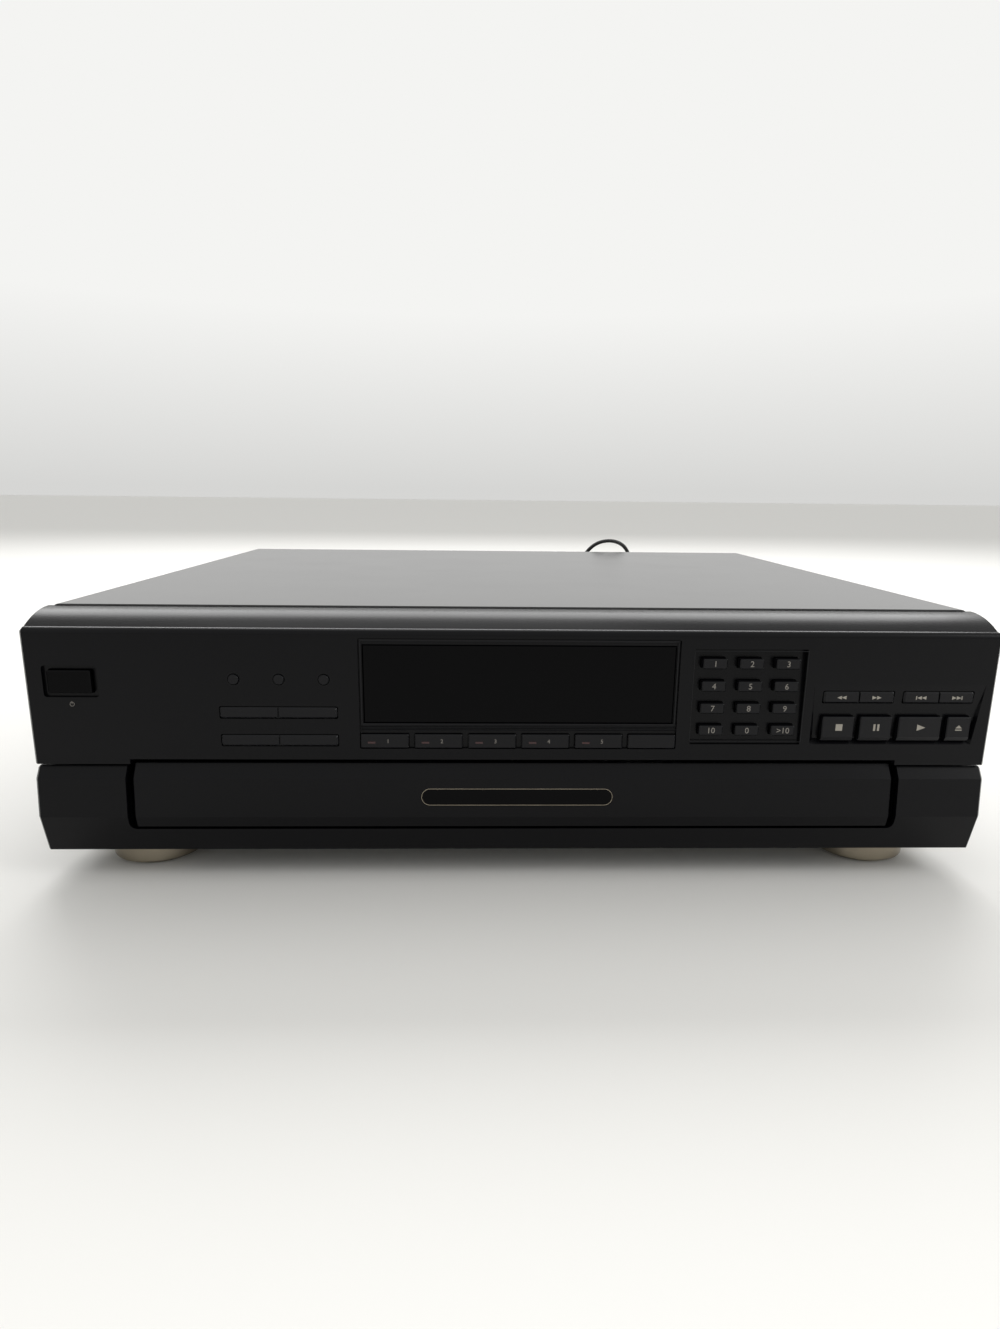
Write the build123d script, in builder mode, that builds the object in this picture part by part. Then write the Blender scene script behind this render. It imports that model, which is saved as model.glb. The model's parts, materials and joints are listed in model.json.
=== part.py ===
import os
from math import acos, cos, pi, radians, sin, tan

from build123d import *

# A front loading changer for five discs: a low case on four feet, a drawer that
# carries a turning tray of five disc wells, and a pickup unit that rises behind it.
# +Z is up, -Y is the front, and the origin is on the floor below the middle.

# Case
case_width = 430.0  # fascia, end to end
case_height = 124.9  # floor to the top of the cover
face_y = -178.2  # flat face of the upper fascia
split_z = 56.5  # lower edge of the upper fascia
base_z = 14.4  # underside of the case, as high as the feet
cover_width = 424.6
cover_front_y = -154.2
cover_back_y = 172.5
sheet = 1.2  # steel sheet of the cover, chassis and back
wall = 2.5  # moulded wall of the fascia
lap = 0.1  # clearance between pieces that lie against each other
cover_bend = 3.0
end_bevel = 1.2  # along the ends of the mouldings

# Upper fascia
face_height = 59.0  # flat part of the face, above its lower edge
crease_depth = 3.0  # the crease behind the face's rounded top edge
crease_height = 61.65
bullnose_depth = 24.0
bullnose_height = 67.7
notch_width = 346.0  # raised lower edge over the drawer
notch_height = 2.3
field_back = 5.5  # back of the thicker panels behind the key fields

# Lower fascia and drawer front: depth before (-) or behind (+) the face, height below the split
ledge = (2.0, -1.25)
brow = (-1.3, -6.4)
nose = (-2.85, -24.3)
chin = (1.75, -42.1)
drawer_width = 344.4
drawer_top = -0.3
drawer_bottom = -29.3
drawer_back = 4.5
drawer_side_gap = 3.1
drawer_under_gap = 1.4
opening_corner = 3.0
badge_width = 87.2
badge_height = 8.0
badge_depth = 0.5
badge_z = -15.0

# Display window and its recess
window_x = 0.35
window_recess_width = 141.9
window_recess_low = 7.6
window_recess_high = 58.0
window_recess_depth = 1.2
window_width = 138.4
window_low = 19.2
window_high = 54.8
window_set_back = 0.5
window_rim = 3.4
window_flange = 1.2
window_bevel = 0.6
window_lap_low = 2.8  # flange below and above the glass
window_lap_high = 1.2

# Keys
key_gap = 0.35  # around a key in its opening
key_lip = 0.6  # flange that holds a key behind the panel
key_lip_thickness = 1.0
key_travel = 1.2
power_travel = 2.0
key_bevel = 0.4
power_bevel = 0.45
switch_reach = 11.8  # tip of a switch behind the face
switch_gap = 0.2
switch_size = 6.0
switch_height = 3.5
stem_size = 2.6
rocker_tilt = 1.8  # degrees each way
rocker_bevel = 0.7
rocker_nose = 0.7  # radius of the rib that a rocker tips about

disc_key_width = 21.4
disc_key_height = 6.4
disc_key_pitch = 24.0
disc_key_z = 10.95
disc_key_proud = 0.3

keypad_x = 102.8
keypad_low = 9.8
keypad_high = 53.8
keypad_width = 50.1
keypad_pitch_x = 16.3
keypad_pitch_z = 10.2
keypad_row_z = 32.0
keypad_key_width = 10.6
keypad_key_height = 4.5
keypad_key_proud = 1.6
keypad_depth_low = 1.5
keypad_depth_high = 3.0

transport_left = 132.4
transport_right = 210.4
transport_low = 9.9
transport_high = 38.1
transport_depth = 2.6
transport_slant = 3.4  # the right border leans in by this much at the bottom
transport_bevel = 2.2
transport_bevel_right = 1.2
large_key_skirt = (1.2, 2.0)  # depth and height of the slope along a large key's lower edge
large_key_z = 17.4
large_key_height = 11.3
large_key_proud = 0.9
large_keys = {
    "stop": (144.5, 14.5),
    "pause": (161.8, 14.5),
    "play": (182.0, 19.6),
    "open_close": (199.9, 10.7),
}
slim_key_z = 32.0
slim_key_height = 5.3
slim_key_width = 32.0
slim_keys = {"search": 153.0, "skip": 189.4}
slim_key_proud = 0.3

power_x = -195.3
power_z = 37.9
power_recess_width = 23.8
power_recess_height = 14.2
power_recess_depth = 1.5
power_key_width = 18.6
power_key_height = 10.2
power_key_proud = 1.2

round_key_x = -105.3
round_key_pitch = 19.6
round_key_z = 39.2
round_key_diameter = 4.6
round_key_proud = 0.7

bar_x = -106.0
bar_width = 51.4
bar_height = 5.0
bar_heights = {"scan_edit": 24.1, "time_program": 11.3}
bar_proud = 0.8

# Front board
board_depth = 16.0  # face of the front board, behind the fascia's face
board_thickness = 1.6
board_width = 410.0
board_low = 5.5
board_high = 57.0
board_posts = (-203.0, -76.0, 76.6, 131.5, 203.0)
post_radius = 2.4
tube_width = 118.0
tube_height = 26.0
tube_depth = 7.0

# Feet
foot_radius = 22.0
foot_x = 177.0
foot_front_y = -143.2
foot_back_y = 130.0
foot_pad_radius = 18.5
foot_pad_height = 1.5

# Chassis, deck and rails
chassis_front_y = -152.0
chassis_rim = 14.0
back_y = 171.0  # inner face of the rear panel
deck_z = 19.0
deck_thickness = 2.5
deck_half_width = 200.0
deck_front_y = -148.0
deck_back_y = 166.0
rail_x = 174.6
rail_wall = 2.4
rail_top_z = 60.0
rail_front_y = -146.0
rail_gap = 0.3

# Drawer tray
tray_travel = 235.0
tray_half_width = 170.0
tray_floor_z = 31.0
tray_floor = 2.5
tray_wall = 2.0
tray_wall_top = 52.0
tray_back_y = 163.0
runner_width = 3.5
runner_low_z = 36.0
runner_height = 3.0
bay_half_width = 46.0  # bay in the tray over the pickup unit
bay_front_y = 14.0

# Carousel
carousel_y = -5.0
carousel_radius = 165.0
carousel_z = 44.0
carousel_plate = 2.5
carousel_top = 50.0
disc_diameter = 120.0
disc_well_gap = 0.3
disc_count = 5
disc_orbit = 103.8
window_slot = 44.0
hub_pin_radius = 5.0
running_fit = 0.07
hub_post_radius = 12.0
cap_radius = 24.0
cap_thickness = 2.0
carousel_rise = 4.5  # gear ring below the plate

# Gears
gear_module = 1.25
ring_teeth = 64
pinion_teeth = 16
pinion_angle = 202.5  # direction from the carousel's axis to the pinion
drive_teeth = 20
tooth_share = 0.42  # tooth thickness as a share of the pitch
pressure_angle = 20.0
drive_x = -124.0
drive_y = -118.0
rack_z = 26.6
drive_gear_height = 3.6
drive_post_radius = 2.5
motor_radius = 11.0
motor_bottom_z = 26.6
belt_motor_x = -193.0
belt_z = 22.3
belt_width = 2.6
belt_thickness = 1.2
belt_gap = 0.3
drive_pulley_radius = 10.5
motor_pulley_radius = 4.0

# Pickup unit
lift_travel = 14.8
unit_half_width = 38.0
unit_front_y = 62.0
unit_back_y = 165.0
unit_z = 23.7
unit_thickness = 3.5
seat_z = 40.2
turntable_radius = 14.5
cone_height = 3.0
cone_radius = 7.4
spindle_radius = 1.0
spindle_motor_radius = 12.0
spindle_motor_height = 6.8
sled_travel = 32.5
sled_start = 23.5
sled_half_width = 21.5
sled_length = 12.0
sled_low_z = 23.2
sled_top_z = 28.6
lens_top_z = 38.5
unit_window = 24.0  # half width of the unit's window, over which the sled runs
window_web = 3.5
rod_x = 17.0
rod_radius = 1.5
guide_x = 33.0
guide_radius = 1.8
guide_top_z = 43.0

# Clamp bridge and puck
bridge_half_width = 182.0
bridge_front_y = 58.0
bridge_back_y = 140.0
bridge_sheet = 1.5
bridge_flange = 8.0
puck_radius = 13.5
puck_bottom_z = 56.3
puck_flange = 17.5
puck_gap = 0.3

# Electronics
main_board_x = -90.0
main_board_width = 150.0
main_board_front_y = 66.0
main_board_z = 72.0
transformer_x = 146.0
transformer_y = 96.0
transformer_width = 54.0
transformer_height = 46.0
transformer_stack = 24.0
jack_x = -120.0
jack_radius = 4.15
jack_pin_radius = 1.6
jack_reach = 8.8
jack_pitch = 14.0
jack_z = 81.0
jack_block = 12.0

# Mains lead
cord_diameter = 3.4
cord_x = 70.0
cord_z = 62.0
relief_length = 22.0
relief_radius = 5.0
coil_x = 84.0
coil_y = 226.0
coil_pitch = 4.0  # from one turn to the next, side by side or stacked
coil_outer = 27.0
coil_climb_step = 1.2  # further change of radius on a half turn that climbs to the next layer
coil_exit_step = 6.5  # change of radius on the last half turn
coil_turns_in_layer = 3
coil_layers = 4
plug_thickness = 13.4
plug_width = 26.0
plug_length = 35.0
plug_neck = 20.0  # tapered sleeve between the cord and the body
pin_radius = 2.0
pin_length = 19.0
pin_pitch = 18.6

outer_half = case_width / 2
back_face_y = back_y + sheet
deck_top = deck_z + deck_thickness
disc_y = carousel_y + disc_orbit
tray_floor_top = tray_floor_z + tray_floor
tray_front_y = face_y + drawer_back
unit_top = unit_z + unit_thickness
opening_half = drawer_width / 2 + drawer_side_gap
opening_low = split_z + drawer_bottom - drawer_under_gap


def front_plane(x, depth, height):
    # a plane parallel to the face, looking forward: depth behind it, height above the split
    return Plane((x, face_y + depth, split_z + height), x_dir=(1, 0, 0), z_dir=(0, -1, 0))


def block(xs, ys, zs, mode=Mode.ADD):
    # a square block between two limits along each axis
    middle = [(low + high) / 2 for low, high in (xs, ys, zs)]
    size = [abs(high - low) for low, high in (xs, ys, zs)]
    with Locations(tuple(middle)):
        Box(*size, mode=mode)


def rod(centre, radius, low, high, mode=Mode.ADD):
    # an upright round bar
    with Locations((*centre, (low + high) / 2)):
        Cylinder(radius, high - low, mode=mode)


def save(builder, name):
    builder.part.label = name
    export_step(builder.part, f"parts/{name}.step")


def involute(angle):
    return tan(angle) - angle


def gear_outline(teeth, turn=0.0):
    # a spur gear's face; the first tooth points along turn, in degrees
    pitch_radius = gear_module * teeth / 2
    base_radius = pitch_radius * cos(radians(pressure_angle))
    root_radius = pitch_radius - 1.2 * gear_module
    tip_radius = pitch_radius + 0.9 * gear_module
    half = tooth_share * pi * gear_module / pitch_radius / 2
    flank = []
    for radius in (max(base_radius, root_radius), pitch_radius, tip_radius):
        lean = involute(radians(pressure_angle)) - involute(acos(base_radius / radius))
        flank.append((radius, half + lean))
    flank.insert(0, (root_radius - 0.3, flank[0][1]))
    right = [(radius * cos(angle), -radius * sin(angle)) for radius, angle in flank]
    left = [(radius * cos(angle), radius * sin(angle)) for radius, angle in reversed(flank)]
    Circle(root_radius)
    with PolarLocations(0, teeth, start_angle=turn):
        Polygon(*right, *left, align=None)


os.makedirs("parts", exist_ok=True)

# ---------------------------------------------------------------- keys


def key_row():
    # every push key: x, height, width, tallness, stands proud, panel behind it
    keys = {}
    for i in range(disc_count):
        x = window_x + (i - disc_count / 2) * disc_key_pitch
        keys[f"disc_button_{i + 1}"] = (x, disc_key_z, disc_key_width, disc_key_height, disc_key_proud, wall)
    skip_x = window_x + disc_count / 2 * disc_key_pitch
    keys["disc_skip_button"] = (skip_x, disc_key_z, disc_key_width, disc_key_height, disc_key_proud, wall)
    names = [str(n) for n in range(1, 11)] + ["0", "over_10"]
    for i, name in enumerate(names):
        x = keypad_x + (i % 3 - 1) * keypad_pitch_x
        z = keypad_row_z + (1.5 - i // 3) * keypad_pitch_z
        keys[f"number_button_{name}"] = (
            x, z, keypad_key_width, keypad_key_height, keypad_key_proud, field_back)
    for name, (x, width) in large_keys.items():
        keys[f"{name}_button"] = (x, large_key_z, width, large_key_height, large_key_proud, field_back)
    keys["power_button"] = (
        power_x, power_z, power_key_width, power_key_height, power_key_proud, field_back)
    return keys


push_keys = key_row()
round_keys = {}
for i, name in enumerate(("spiral_button", "random_button", "repeat_button")):
    round_keys[name] = (round_key_x + (i - 1) * round_key_pitch, round_key_z)
rockers = {}
for name, x in slim_keys.items():
    rockers[f"{name}_rocker"] = (x, slim_key_z, slim_key_width, slim_key_height, slim_key_proud, field_back)
for name, z in bar_heights.items():
    rockers[f"{name}_rocker"] = (bar_x, z, bar_width, bar_height, bar_proud, wall)
rocker_reach = 0.3  # of a rocker's width, from its middle to each switch


def stem_end(travel):
    return switch_reach - travel - switch_gap


for name, (x, z, width, height, proud, back) in push_keys.items():
    travel = power_travel if name == "power_button" else key_travel
    lip_front = back + lap
    lip_back = lip_front + key_lip_thickness
    with BuildPart() as key:
        with BuildSketch(front_plane(x, -proud, z)):
            RectangleRounded(width, height, 0.5)
        extrude(amount=-(lip_front + proud))
        bevel = power_bevel if name == "power_button" else key_bevel
        chamfer(key.faces().sort_by(Axis.Y)[0].edges(), bevel)
        if name[:-len("_button")] in large_keys:
            with BuildSketch(Plane.YZ.offset(x - width / 2)):
                key_front = face_y - proud
                key_low = split_z + z - height / 2
                Polygon(
                    (key_front, key_low),
                    (key_front, key_low + large_key_skirt[1]),
                    (key_front + large_key_skirt[0], key_low),
                    align=None,
                )
            extrude(amount=width, mode=Mode.SUBTRACT)
        with BuildSketch(front_plane(x, lip_front, z)):
            Rectangle(width + 2 * key_lip, height + 2 * key_lip)
        extrude(amount=-key_lip_thickness)
        with BuildSketch(front_plane(x, lip_back, z)):
            Rectangle(stem_size, stem_size)
        extrude(amount=-(stem_end(travel) - lip_back))
    save(key, name)

for name, (x, z) in round_keys.items():
    lip_front = wall + lap
    lip_back = lip_front + key_lip_thickness
    with BuildPart() as key:
        with BuildSketch(front_plane(x, -round_key_proud, z)):
            Circle(round_key_diameter / 2)
        extrude(amount=-(lip_front + round_key_proud))
        fillet(key.faces().sort_by(Axis.Y)[0].edges(), key_bevel)
        with BuildSketch(front_plane(x, lip_front, z)):
            Circle(round_key_diameter / 2 + key_lip)
        extrude(amount=-key_lip_thickness)
        with BuildSketch(front_plane(x, lip_back, z)):
            Rectangle(stem_size, stem_size)
        extrude(amount=-(stem_end(key_travel) - lip_back))
    save(key, name)

# A rocker tips about an upright rib that bears on the back of the panel, and presses
# one switch at each side. A groove across its middle parts its two halves.
rocker_room = 1.0  # behind the panel, so that a rocker's ends can tip forward
for name, (x, z, width, height, proud, back) in rockers.items():
    lip_front = back + lap + rocker_room
    lip_back = lip_front + key_lip_thickness
    with BuildPart() as key:
        with BuildSketch(front_plane(x, -proud, z)):
            RectangleRounded(width, height, 1.0)
        extrude(amount=-(lip_front + proud))
        chamfer(key.faces().sort_by(Axis.Y)[0].edges(), rocker_bevel)
        with BuildSketch(front_plane(x, -proud, z)):
            Rectangle(0.7, height)
        extrude(amount=-0.8, mode=Mode.SUBTRACT)
        with BuildSketch(front_plane(x, lip_front, z)):
            Rectangle(width, height + 2 * key_lip)
        extrude(amount=-key_lip_thickness)
        # the rib has a round nose, whose middle is the axis that the rocker turns about
        axis_y = face_y + back + lap + rocker_nose
        rib_z = split_z + z
        rib_half = height / 2 + key_lip
        rod((x, axis_y), rocker_nose, rib_z - rib_half, rib_z + rib_half)
        block(
            (x - rocker_nose, x + rocker_nose),
            (axis_y, face_y + lip_front), (rib_z - rib_half, rib_z + rib_half))
        for side in (-1, 1):
            with BuildSketch(front_plane(x + side * rocker_reach * width, lip_back, z)):
                Rectangle(stem_size, stem_size)
            extrude(amount=-(stem_end(key_travel) - lip_back))
    save(key, name)

# ---------------------------------------------------------------- fascia


def end_edges(builder, back, low):
    # the edges of a moulding's two end faces, without those at its back and its lower edge
    edges = builder.edges().group_by(Axis.X)
    return [e for e in edges[0] + edges[-1] if e.center().Y < back - lap and e.center().Z > low + lap]


# the scoop around the transport keys: bevelled sides, and a floor that leans back downwards
scoop_left = transport_left + transport_bevel
scoop_right = transport_right - transport_bevel_right
scoop_low = transport_low + transport_bevel
with BuildPart() as scoop:
    with BuildSketch(front_plane(0, 0, 0)):
        Polygon(
            (transport_left, transport_low),
            (transport_right - transport_slant, transport_low),
            (transport_right, transport_high),
            (transport_left, transport_high),
            align=None,
        )
    with BuildSketch(front_plane(0, transport_depth, 0)):
        Polygon(
            (scoop_left, scoop_low),
            (scoop_right - transport_slant, scoop_low),
            (scoop_right, transport_high),
            (scoop_left, transport_high),
            align=None,
        )
    loft()
    with BuildSketch(Plane.YZ.offset(transport_left)):
        Polygon(
            (face_y, split_z + transport_high),
            (face_y, split_z + transport_low),
            (face_y + transport_depth, split_z + transport_low),
            (face_y + transport_depth, split_z + scoop_low),
            align=None,
        )
    extrude(amount=transport_right - transport_left, mode=Mode.INTERSECT)

with BuildPart() as upper_fascia:
    with BuildSketch(Plane.YZ.offset(-outer_half)):
        with BuildLine():
            foot = (face_y, split_z)
            lip = (face_y, split_z + face_height)
            crease = (face_y + crease_depth, split_z + crease_height)
            rear = (face_y + bullnose_depth, split_z + bullnose_height)
            Line(foot, lip)
            TangentArc(lip, crease, tangent=(0, 1))
            TangentArc(rear, crease, tangent=(-1, 0))
            Line(rear, (rear[0], split_z))
            Line((rear[0], split_z), foot)
        make_face()
    extrude(amount=case_width)
    chamfer(end_edges(upper_fascia, rear[0], split_z), end_bevel)
    with BuildSketch(Plane.YZ.offset(-outer_half + wall)):
        with BuildLine():
            inner_rear = (rear[0], rear[1] - wall)
            inner_crease = (crease[0] + wall, crease[1] - wall)
            TangentArc(inner_rear, inner_crease, tangent=(-1, 0))
            Polyline(
                inner_crease,
                (face_y + wall, lip[1] - wall),
                (face_y + wall, split_z - 1),
                (rear[0] + 1, split_z - 1),
                (rear[0] + 1, inner_rear[1]),
                inner_rear,
            )
        make_face()
    extrude(amount=case_width - 2 * wall, mode=Mode.SUBTRACT)
    # the lower edge turns inwards, and is cut higher over the drawer
    inner_half = outer_half - wall
    block((-inner_half, inner_half), (face_y + wall, face_y + 9), (split_z, split_z + 2 * notch_height))
    with BuildSketch(front_plane(0, -1, 0)):
        Rectangle(notch_width, 2 * notch_height)
    extrude(amount=-12, mode=Mode.SUBTRACT)
    # a tab that the cover's front edge rests on
    tab_top = case_height - sheet - lap
    block((-200, 200), (rear[0] - 3, rear[0] + 8), (tab_top - 2, tab_top))
    # thicker panels behind the key fields
    fields = {
        "keypad": (keypad_x, keypad_low, keypad_high, keypad_width),
        "transport": (
            (transport_left + transport_right) / 2, transport_low, transport_high,
            transport_right - transport_left),
        "power": (
            power_x, power_z - power_recess_height / 2, power_z + power_recess_height / 2,
            power_recess_width),
    }
    for x, low, high, width in fields.values():
        with BuildSketch(front_plane(x, wall, (low + high) / 2)):
            Rectangle(width + 2.4, high - low + 2.4)
        extrude(amount=-(field_back - wall))
    # the window's recess, with the row of disc keys below it
    with BuildSketch(front_plane(window_x, 0, (window_recess_low + window_recess_high) / 2)):
        RectangleRounded(window_recess_width, window_recess_high - window_recess_low, 1.2)
    extrude(amount=-window_recess_depth, mode=Mode.SUBTRACT)
    with BuildSketch(front_plane(window_x, 0, (window_low + window_high) / 2)):
        Rectangle(window_width + 2 * lap, window_high - window_low + 2 * lap)
    extrude(amount=-wall, mode=Mode.SUBTRACT)
    # the keypad's floor leans back, the transport keys sit in a scoop
    with BuildSketch(Plane.YZ.offset(keypad_x - keypad_width / 2)):
        Polygon(
            (face_y - 1, split_z + keypad_low),
            (face_y + keypad_depth_low, split_z + keypad_low),
            (face_y + keypad_depth_high, split_z + keypad_high),
            (face_y - 1, split_z + keypad_high),
            align=None,
        )
    extrude(amount=keypad_width, mode=Mode.SUBTRACT)
    add(scoop.part, mode=Mode.SUBTRACT)
    with BuildSketch(front_plane(power_x, 0, power_z)):
        RectangleRounded(power_recess_width, power_recess_height, 1.5)
    extrude(amount=-power_recess_depth, mode=Mode.SUBTRACT)
    # openings for the keys
    for panel_back in (wall, field_back):
        with BuildSketch(front_plane(0, 0, 0)):
            for x, z, width, height, proud, back in (*push_keys.values(), *rockers.values()):
                if back == panel_back:
                    with Locations((x, z)):
                        RectangleRounded(width + 2 * key_gap, height + 2 * key_gap, 0.8)
            if panel_back == wall:
                with Locations(*round_keys.values()):
                    Circle(round_key_diameter / 2 + key_gap)
        extrude(amount=-panel_back, mode=Mode.SUBTRACT)
    # posts that carry the front board
    with BuildSketch(front_plane(0, wall - 0.5, board_high - 4)):
        with Locations(*[(x, 0) for x in board_posts]):
            Circle(post_radius)
    extrude(amount=-(board_depth - wall + 0.5))
save(upper_fascia, "upper_fascia")


def below_split(point, shift=(0.0, 0.0)):
    return (face_y + point[0] + shift[0], split_z + point[1] + shift[1])


with BuildPart() as lower_fascia:
    with BuildSketch(Plane.YZ.offset(-outer_half)):
        Polygon(
            below_split((bullnose_depth, ledge[1])),
            below_split(ledge),
            below_split(brow),
            below_split(nose),
            below_split(chin),
            below_split((bullnose_depth, chin[1])),
            align=None,
        )
    extrude(amount=case_width)
    chamfer(end_edges(lower_fascia, face_y + bullnose_depth, split_z + chin[1]), end_bevel)
    with BuildSketch(Plane.YZ.offset(-outer_half + wall)):
        Polygon(
            below_split((bullnose_depth + 1, ledge[1] - wall)),
            below_split(ledge, (wall / 2, -wall)),
            below_split(brow, (wall, -wall / 2)),
            below_split(nose, (wall, 0)),
            below_split(chin, (wall, wall)),
            below_split((bullnose_depth + 1, chin[1] + wall)),
            align=None,
        )
    extrude(amount=case_width - 2 * wall, mode=Mode.SUBTRACT)
    # the drawer's opening, lined at its sides and below
    lining_depth = bullnose_depth - 1
    opening_high = split_z + 1
    with BuildSketch(front_plane(0, wall, 0)):
        with Locations((0, (opening_low - split_z + ledge[1] - wall / 2) / 2 - wall / 2)):
            Rectangle(2 * (opening_half + wall), split_z - opening_low + ledge[1] - wall / 2 + wall)
    extrude(amount=-(lining_depth - wall))
    with BuildSketch(front_plane(0, -6, (opening_low - split_z + 20) / 2)):
        RectangleRounded(2 * opening_half, 20 + split_z - opening_low, opening_corner)
    extrude(amount=-(lining_depth + 10), mode=Mode.SUBTRACT)
save(lower_fascia, "lower_fascia")

with BuildPart() as tray_front:
    with BuildSketch(Plane.YZ.offset(-drawer_width / 2)):
        slope = (ledge[0] - brow[0]) / (ledge[1] - brow[1])
        under = (chin[0] - nose[0]) / (chin[1] - nose[1])
        Polygon(
            below_split((drawer_back, drawer_top)),
            below_split((ledge[0] + slope * (drawer_top - ledge[1]), drawer_top)),
            below_split(brow),
            below_split(nose),
            below_split((nose[0] + under * (drawer_bottom - nose[1]), drawer_bottom)),
            below_split((drawer_back, drawer_bottom)),
            align=None,
        )
    extrude(amount=drawer_width)
    chamfer(end_edges(tray_front, tray_front_y, split_z + drawer_bottom), end_bevel / 2)
    # a shallow badge recess on the leaning facet
    lean = (nose[0] - brow[0]) / (nose[1] - brow[1])
    badge_depth_y = brow[0] + lean * (badge_z - brow[1])
    badge_plane = Plane(
        (0, face_y + badge_depth_y, split_z + badge_z),
        x_dir=(1, 0, 0),
        z_dir=(0, -1, lean),
    )
    with BuildSketch(badge_plane):
        SlotOverall(badge_width, badge_height)
    extrude(amount=-badge_depth, mode=Mode.SUBTRACT)
save(tray_front, "tray_front")

with BuildPart() as display_window:
    middle = (window_low + window_high) / 2
    with BuildSketch(front_plane(window_x, window_set_back, middle)):
        Rectangle(window_width, window_high - window_low)
    extrude(amount=-(wall + lap - window_set_back))
    chamfer(display_window.faces().sort_by(Axis.Y)[0].edges(), window_bevel)
    with BuildSketch(front_plane(window_x, wall + lap, middle + (window_lap_high - window_lap_low) / 2)):
        Rectangle(
            window_width + 2 * window_rim,
            window_high - window_low + window_lap_low + window_lap_high)
    extrude(amount=-window_flange)
save(display_window, "display_window")

# ---------------------------------------------------------------- front board
with BuildPart() as front_board:
    with BuildSketch(front_plane(0, board_depth, (board_low + board_high) / 2)):
        Rectangle(board_width, board_high - board_low)
    extrude(amount=-board_thickness)
    # one switch behind each key and at each end of a rocker
    spots = [(x, z) for x, z, *rest in push_keys.values()]
    spots += list(round_keys.values())
    for x, z, width, height, proud, back in rockers.values():
        spots += [(x + side * rocker_reach * width, z) for side in (-1, 1)]
    reach = board_depth - switch_height
    with BuildSketch(front_plane(0, reach, 0)):
        with Locations(*spots):
            Rectangle(switch_size, switch_size)
    extrude(amount=-switch_height)
    with BuildSketch(front_plane(0, switch_reach, 0)):
        with Locations(*spots):
            Rectangle(stem_size, stem_size)
    extrude(amount=-(reach - switch_reach))
    # the display tube, a flat sealed glass box on the board
    with BuildSketch(front_plane(window_x, board_depth - tube_depth, (window_low + window_high) / 2)):
        RectangleRounded(tube_width, tube_height, 1.5)
    extrude(amount=-tube_depth)
save(front_board, "front_board")

# ---------------------------------------------------------------- case
foot_places = [(side * foot_x, y) for y in (foot_front_y, foot_back_y) for side in (-1, 1)]
with BuildPart() as foot:
    with BuildSketch(Plane.XZ):
        with BuildLine():
            Polyline(
                (0, 0),
                (foot_pad_radius, 0),
                (foot_pad_radius, foot_pad_height),
                (foot_radius - 1.0, foot_pad_height),
            )
            RadiusArc((foot_radius - 1.0, foot_pad_height), (foot_radius, foot_pad_height + 1.0), -1.0)
            Polyline(
                (foot_radius, foot_pad_height + 1.0),
                (foot_radius, base_z - 3.4),
                (foot_radius - 1.2, base_z - 2.2),
                (foot_radius - 1.2, base_z),
                (0, base_z),
                (0, 0),
            )
        make_face()
    revolve(axis=Axis.Z)
with BuildPart() as feet:
    with Locations(*foot_places):
        add(foot.part)
save(feet, "feet")

inner_cover_half = cover_width / 2 - sheet
chassis_half = inner_cover_half - lap
with BuildPart() as bottom_chassis:
    block((-chassis_half, chassis_half), (chassis_front_y, back_y), (base_z, base_z + sheet))
    for side in (-1, 1):
        edge = side * chassis_half
        block((edge - side * sheet, edge), (chassis_front_y, back_y), (base_z, base_z + chassis_rim))
    block((-chassis_half, chassis_half), (back_y - sheet, back_y), (base_z, base_z + chassis_rim))
    # cooling slots and two pressed stiffening ribs
    for side in (-1, 1):
        with BuildSketch(Plane.XY.offset(base_z)):
            with Locations((side * 150, 30)):
                with GridLocations(0, 9, 1, 9):
                    SlotOverall(44, 3)
        extrude(amount=sheet, mode=Mode.SUBTRACT)
    with BuildSketch(Plane.XY.offset(base_z + sheet)):
        with Locations((0, -60), (0, 60)):
            SlotOverall(240, 7)
    extrude(amount=1.2, taper=35)
save(bottom_chassis, "bottom_chassis")

with BuildPart() as top_cover:
    with BuildSketch(Plane.XZ.offset(-cover_front_y)):
        half = cover_width / 2
        low = base_z + 2.6
        Polygon((-half, low), (-half, case_height), (half, case_height), (half, low), align=None)
    extrude(amount=-(cover_back_y - cover_front_y))
    fillet(top_cover.edges().filter_by(Axis.Y).group_by(Axis.Z)[-1], cover_bend)
    with BuildSketch(Plane.XZ.offset(-cover_front_y)):
        half = cover_width / 2 - sheet
        high = case_height - sheet
        Polygon((-half, low), (-half, high), (half, high), (half, low), align=None)
        fillet(vertices().group_by(Axis.Y)[-1], cover_bend - sheet)
    extrude(amount=-(cover_back_y - cover_front_y), mode=Mode.SUBTRACT)
save(top_cover, "top_cover")

panel_top = case_height - sheet - lap
panel_half = inner_cover_half - lap
jack_low = main_board_z + board_thickness
jack_high = jack_z + jack_pitch + 5.8
with BuildPart() as rear_panel:
    with BuildSketch(Plane.XZ.offset(-back_y)):
        Polygon(
            (-panel_half, base_z),
            (-panel_half, panel_top - 2),
            (-panel_half + 2, panel_top),
            (panel_half - 2, panel_top),
            (panel_half, panel_top - 2),
            (panel_half, base_z),
            align=None,
        )
        with Locations((jack_x, (jack_low + jack_high) / 2)):
            Rectangle(jack_block + 1, jack_high - jack_low + 1, mode=Mode.SUBTRACT)
        with Locations((cord_x, cord_z)):
            Circle(relief_radius + 1.0, mode=Mode.SUBTRACT)
        with Locations((transformer_x, 88)):
            with GridLocations(7, 0, 8, 1):
                SlotOverall(30, 3, rotation=90, mode=Mode.SUBTRACT)
    extrude(amount=-sheet)
    # a folded edge along the top, inside the cover
    block((-panel_half + 4, panel_half - 4), (back_y - 9, back_y), (panel_top - sheet, panel_top))
save(rear_panel, "rear_panel")

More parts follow.
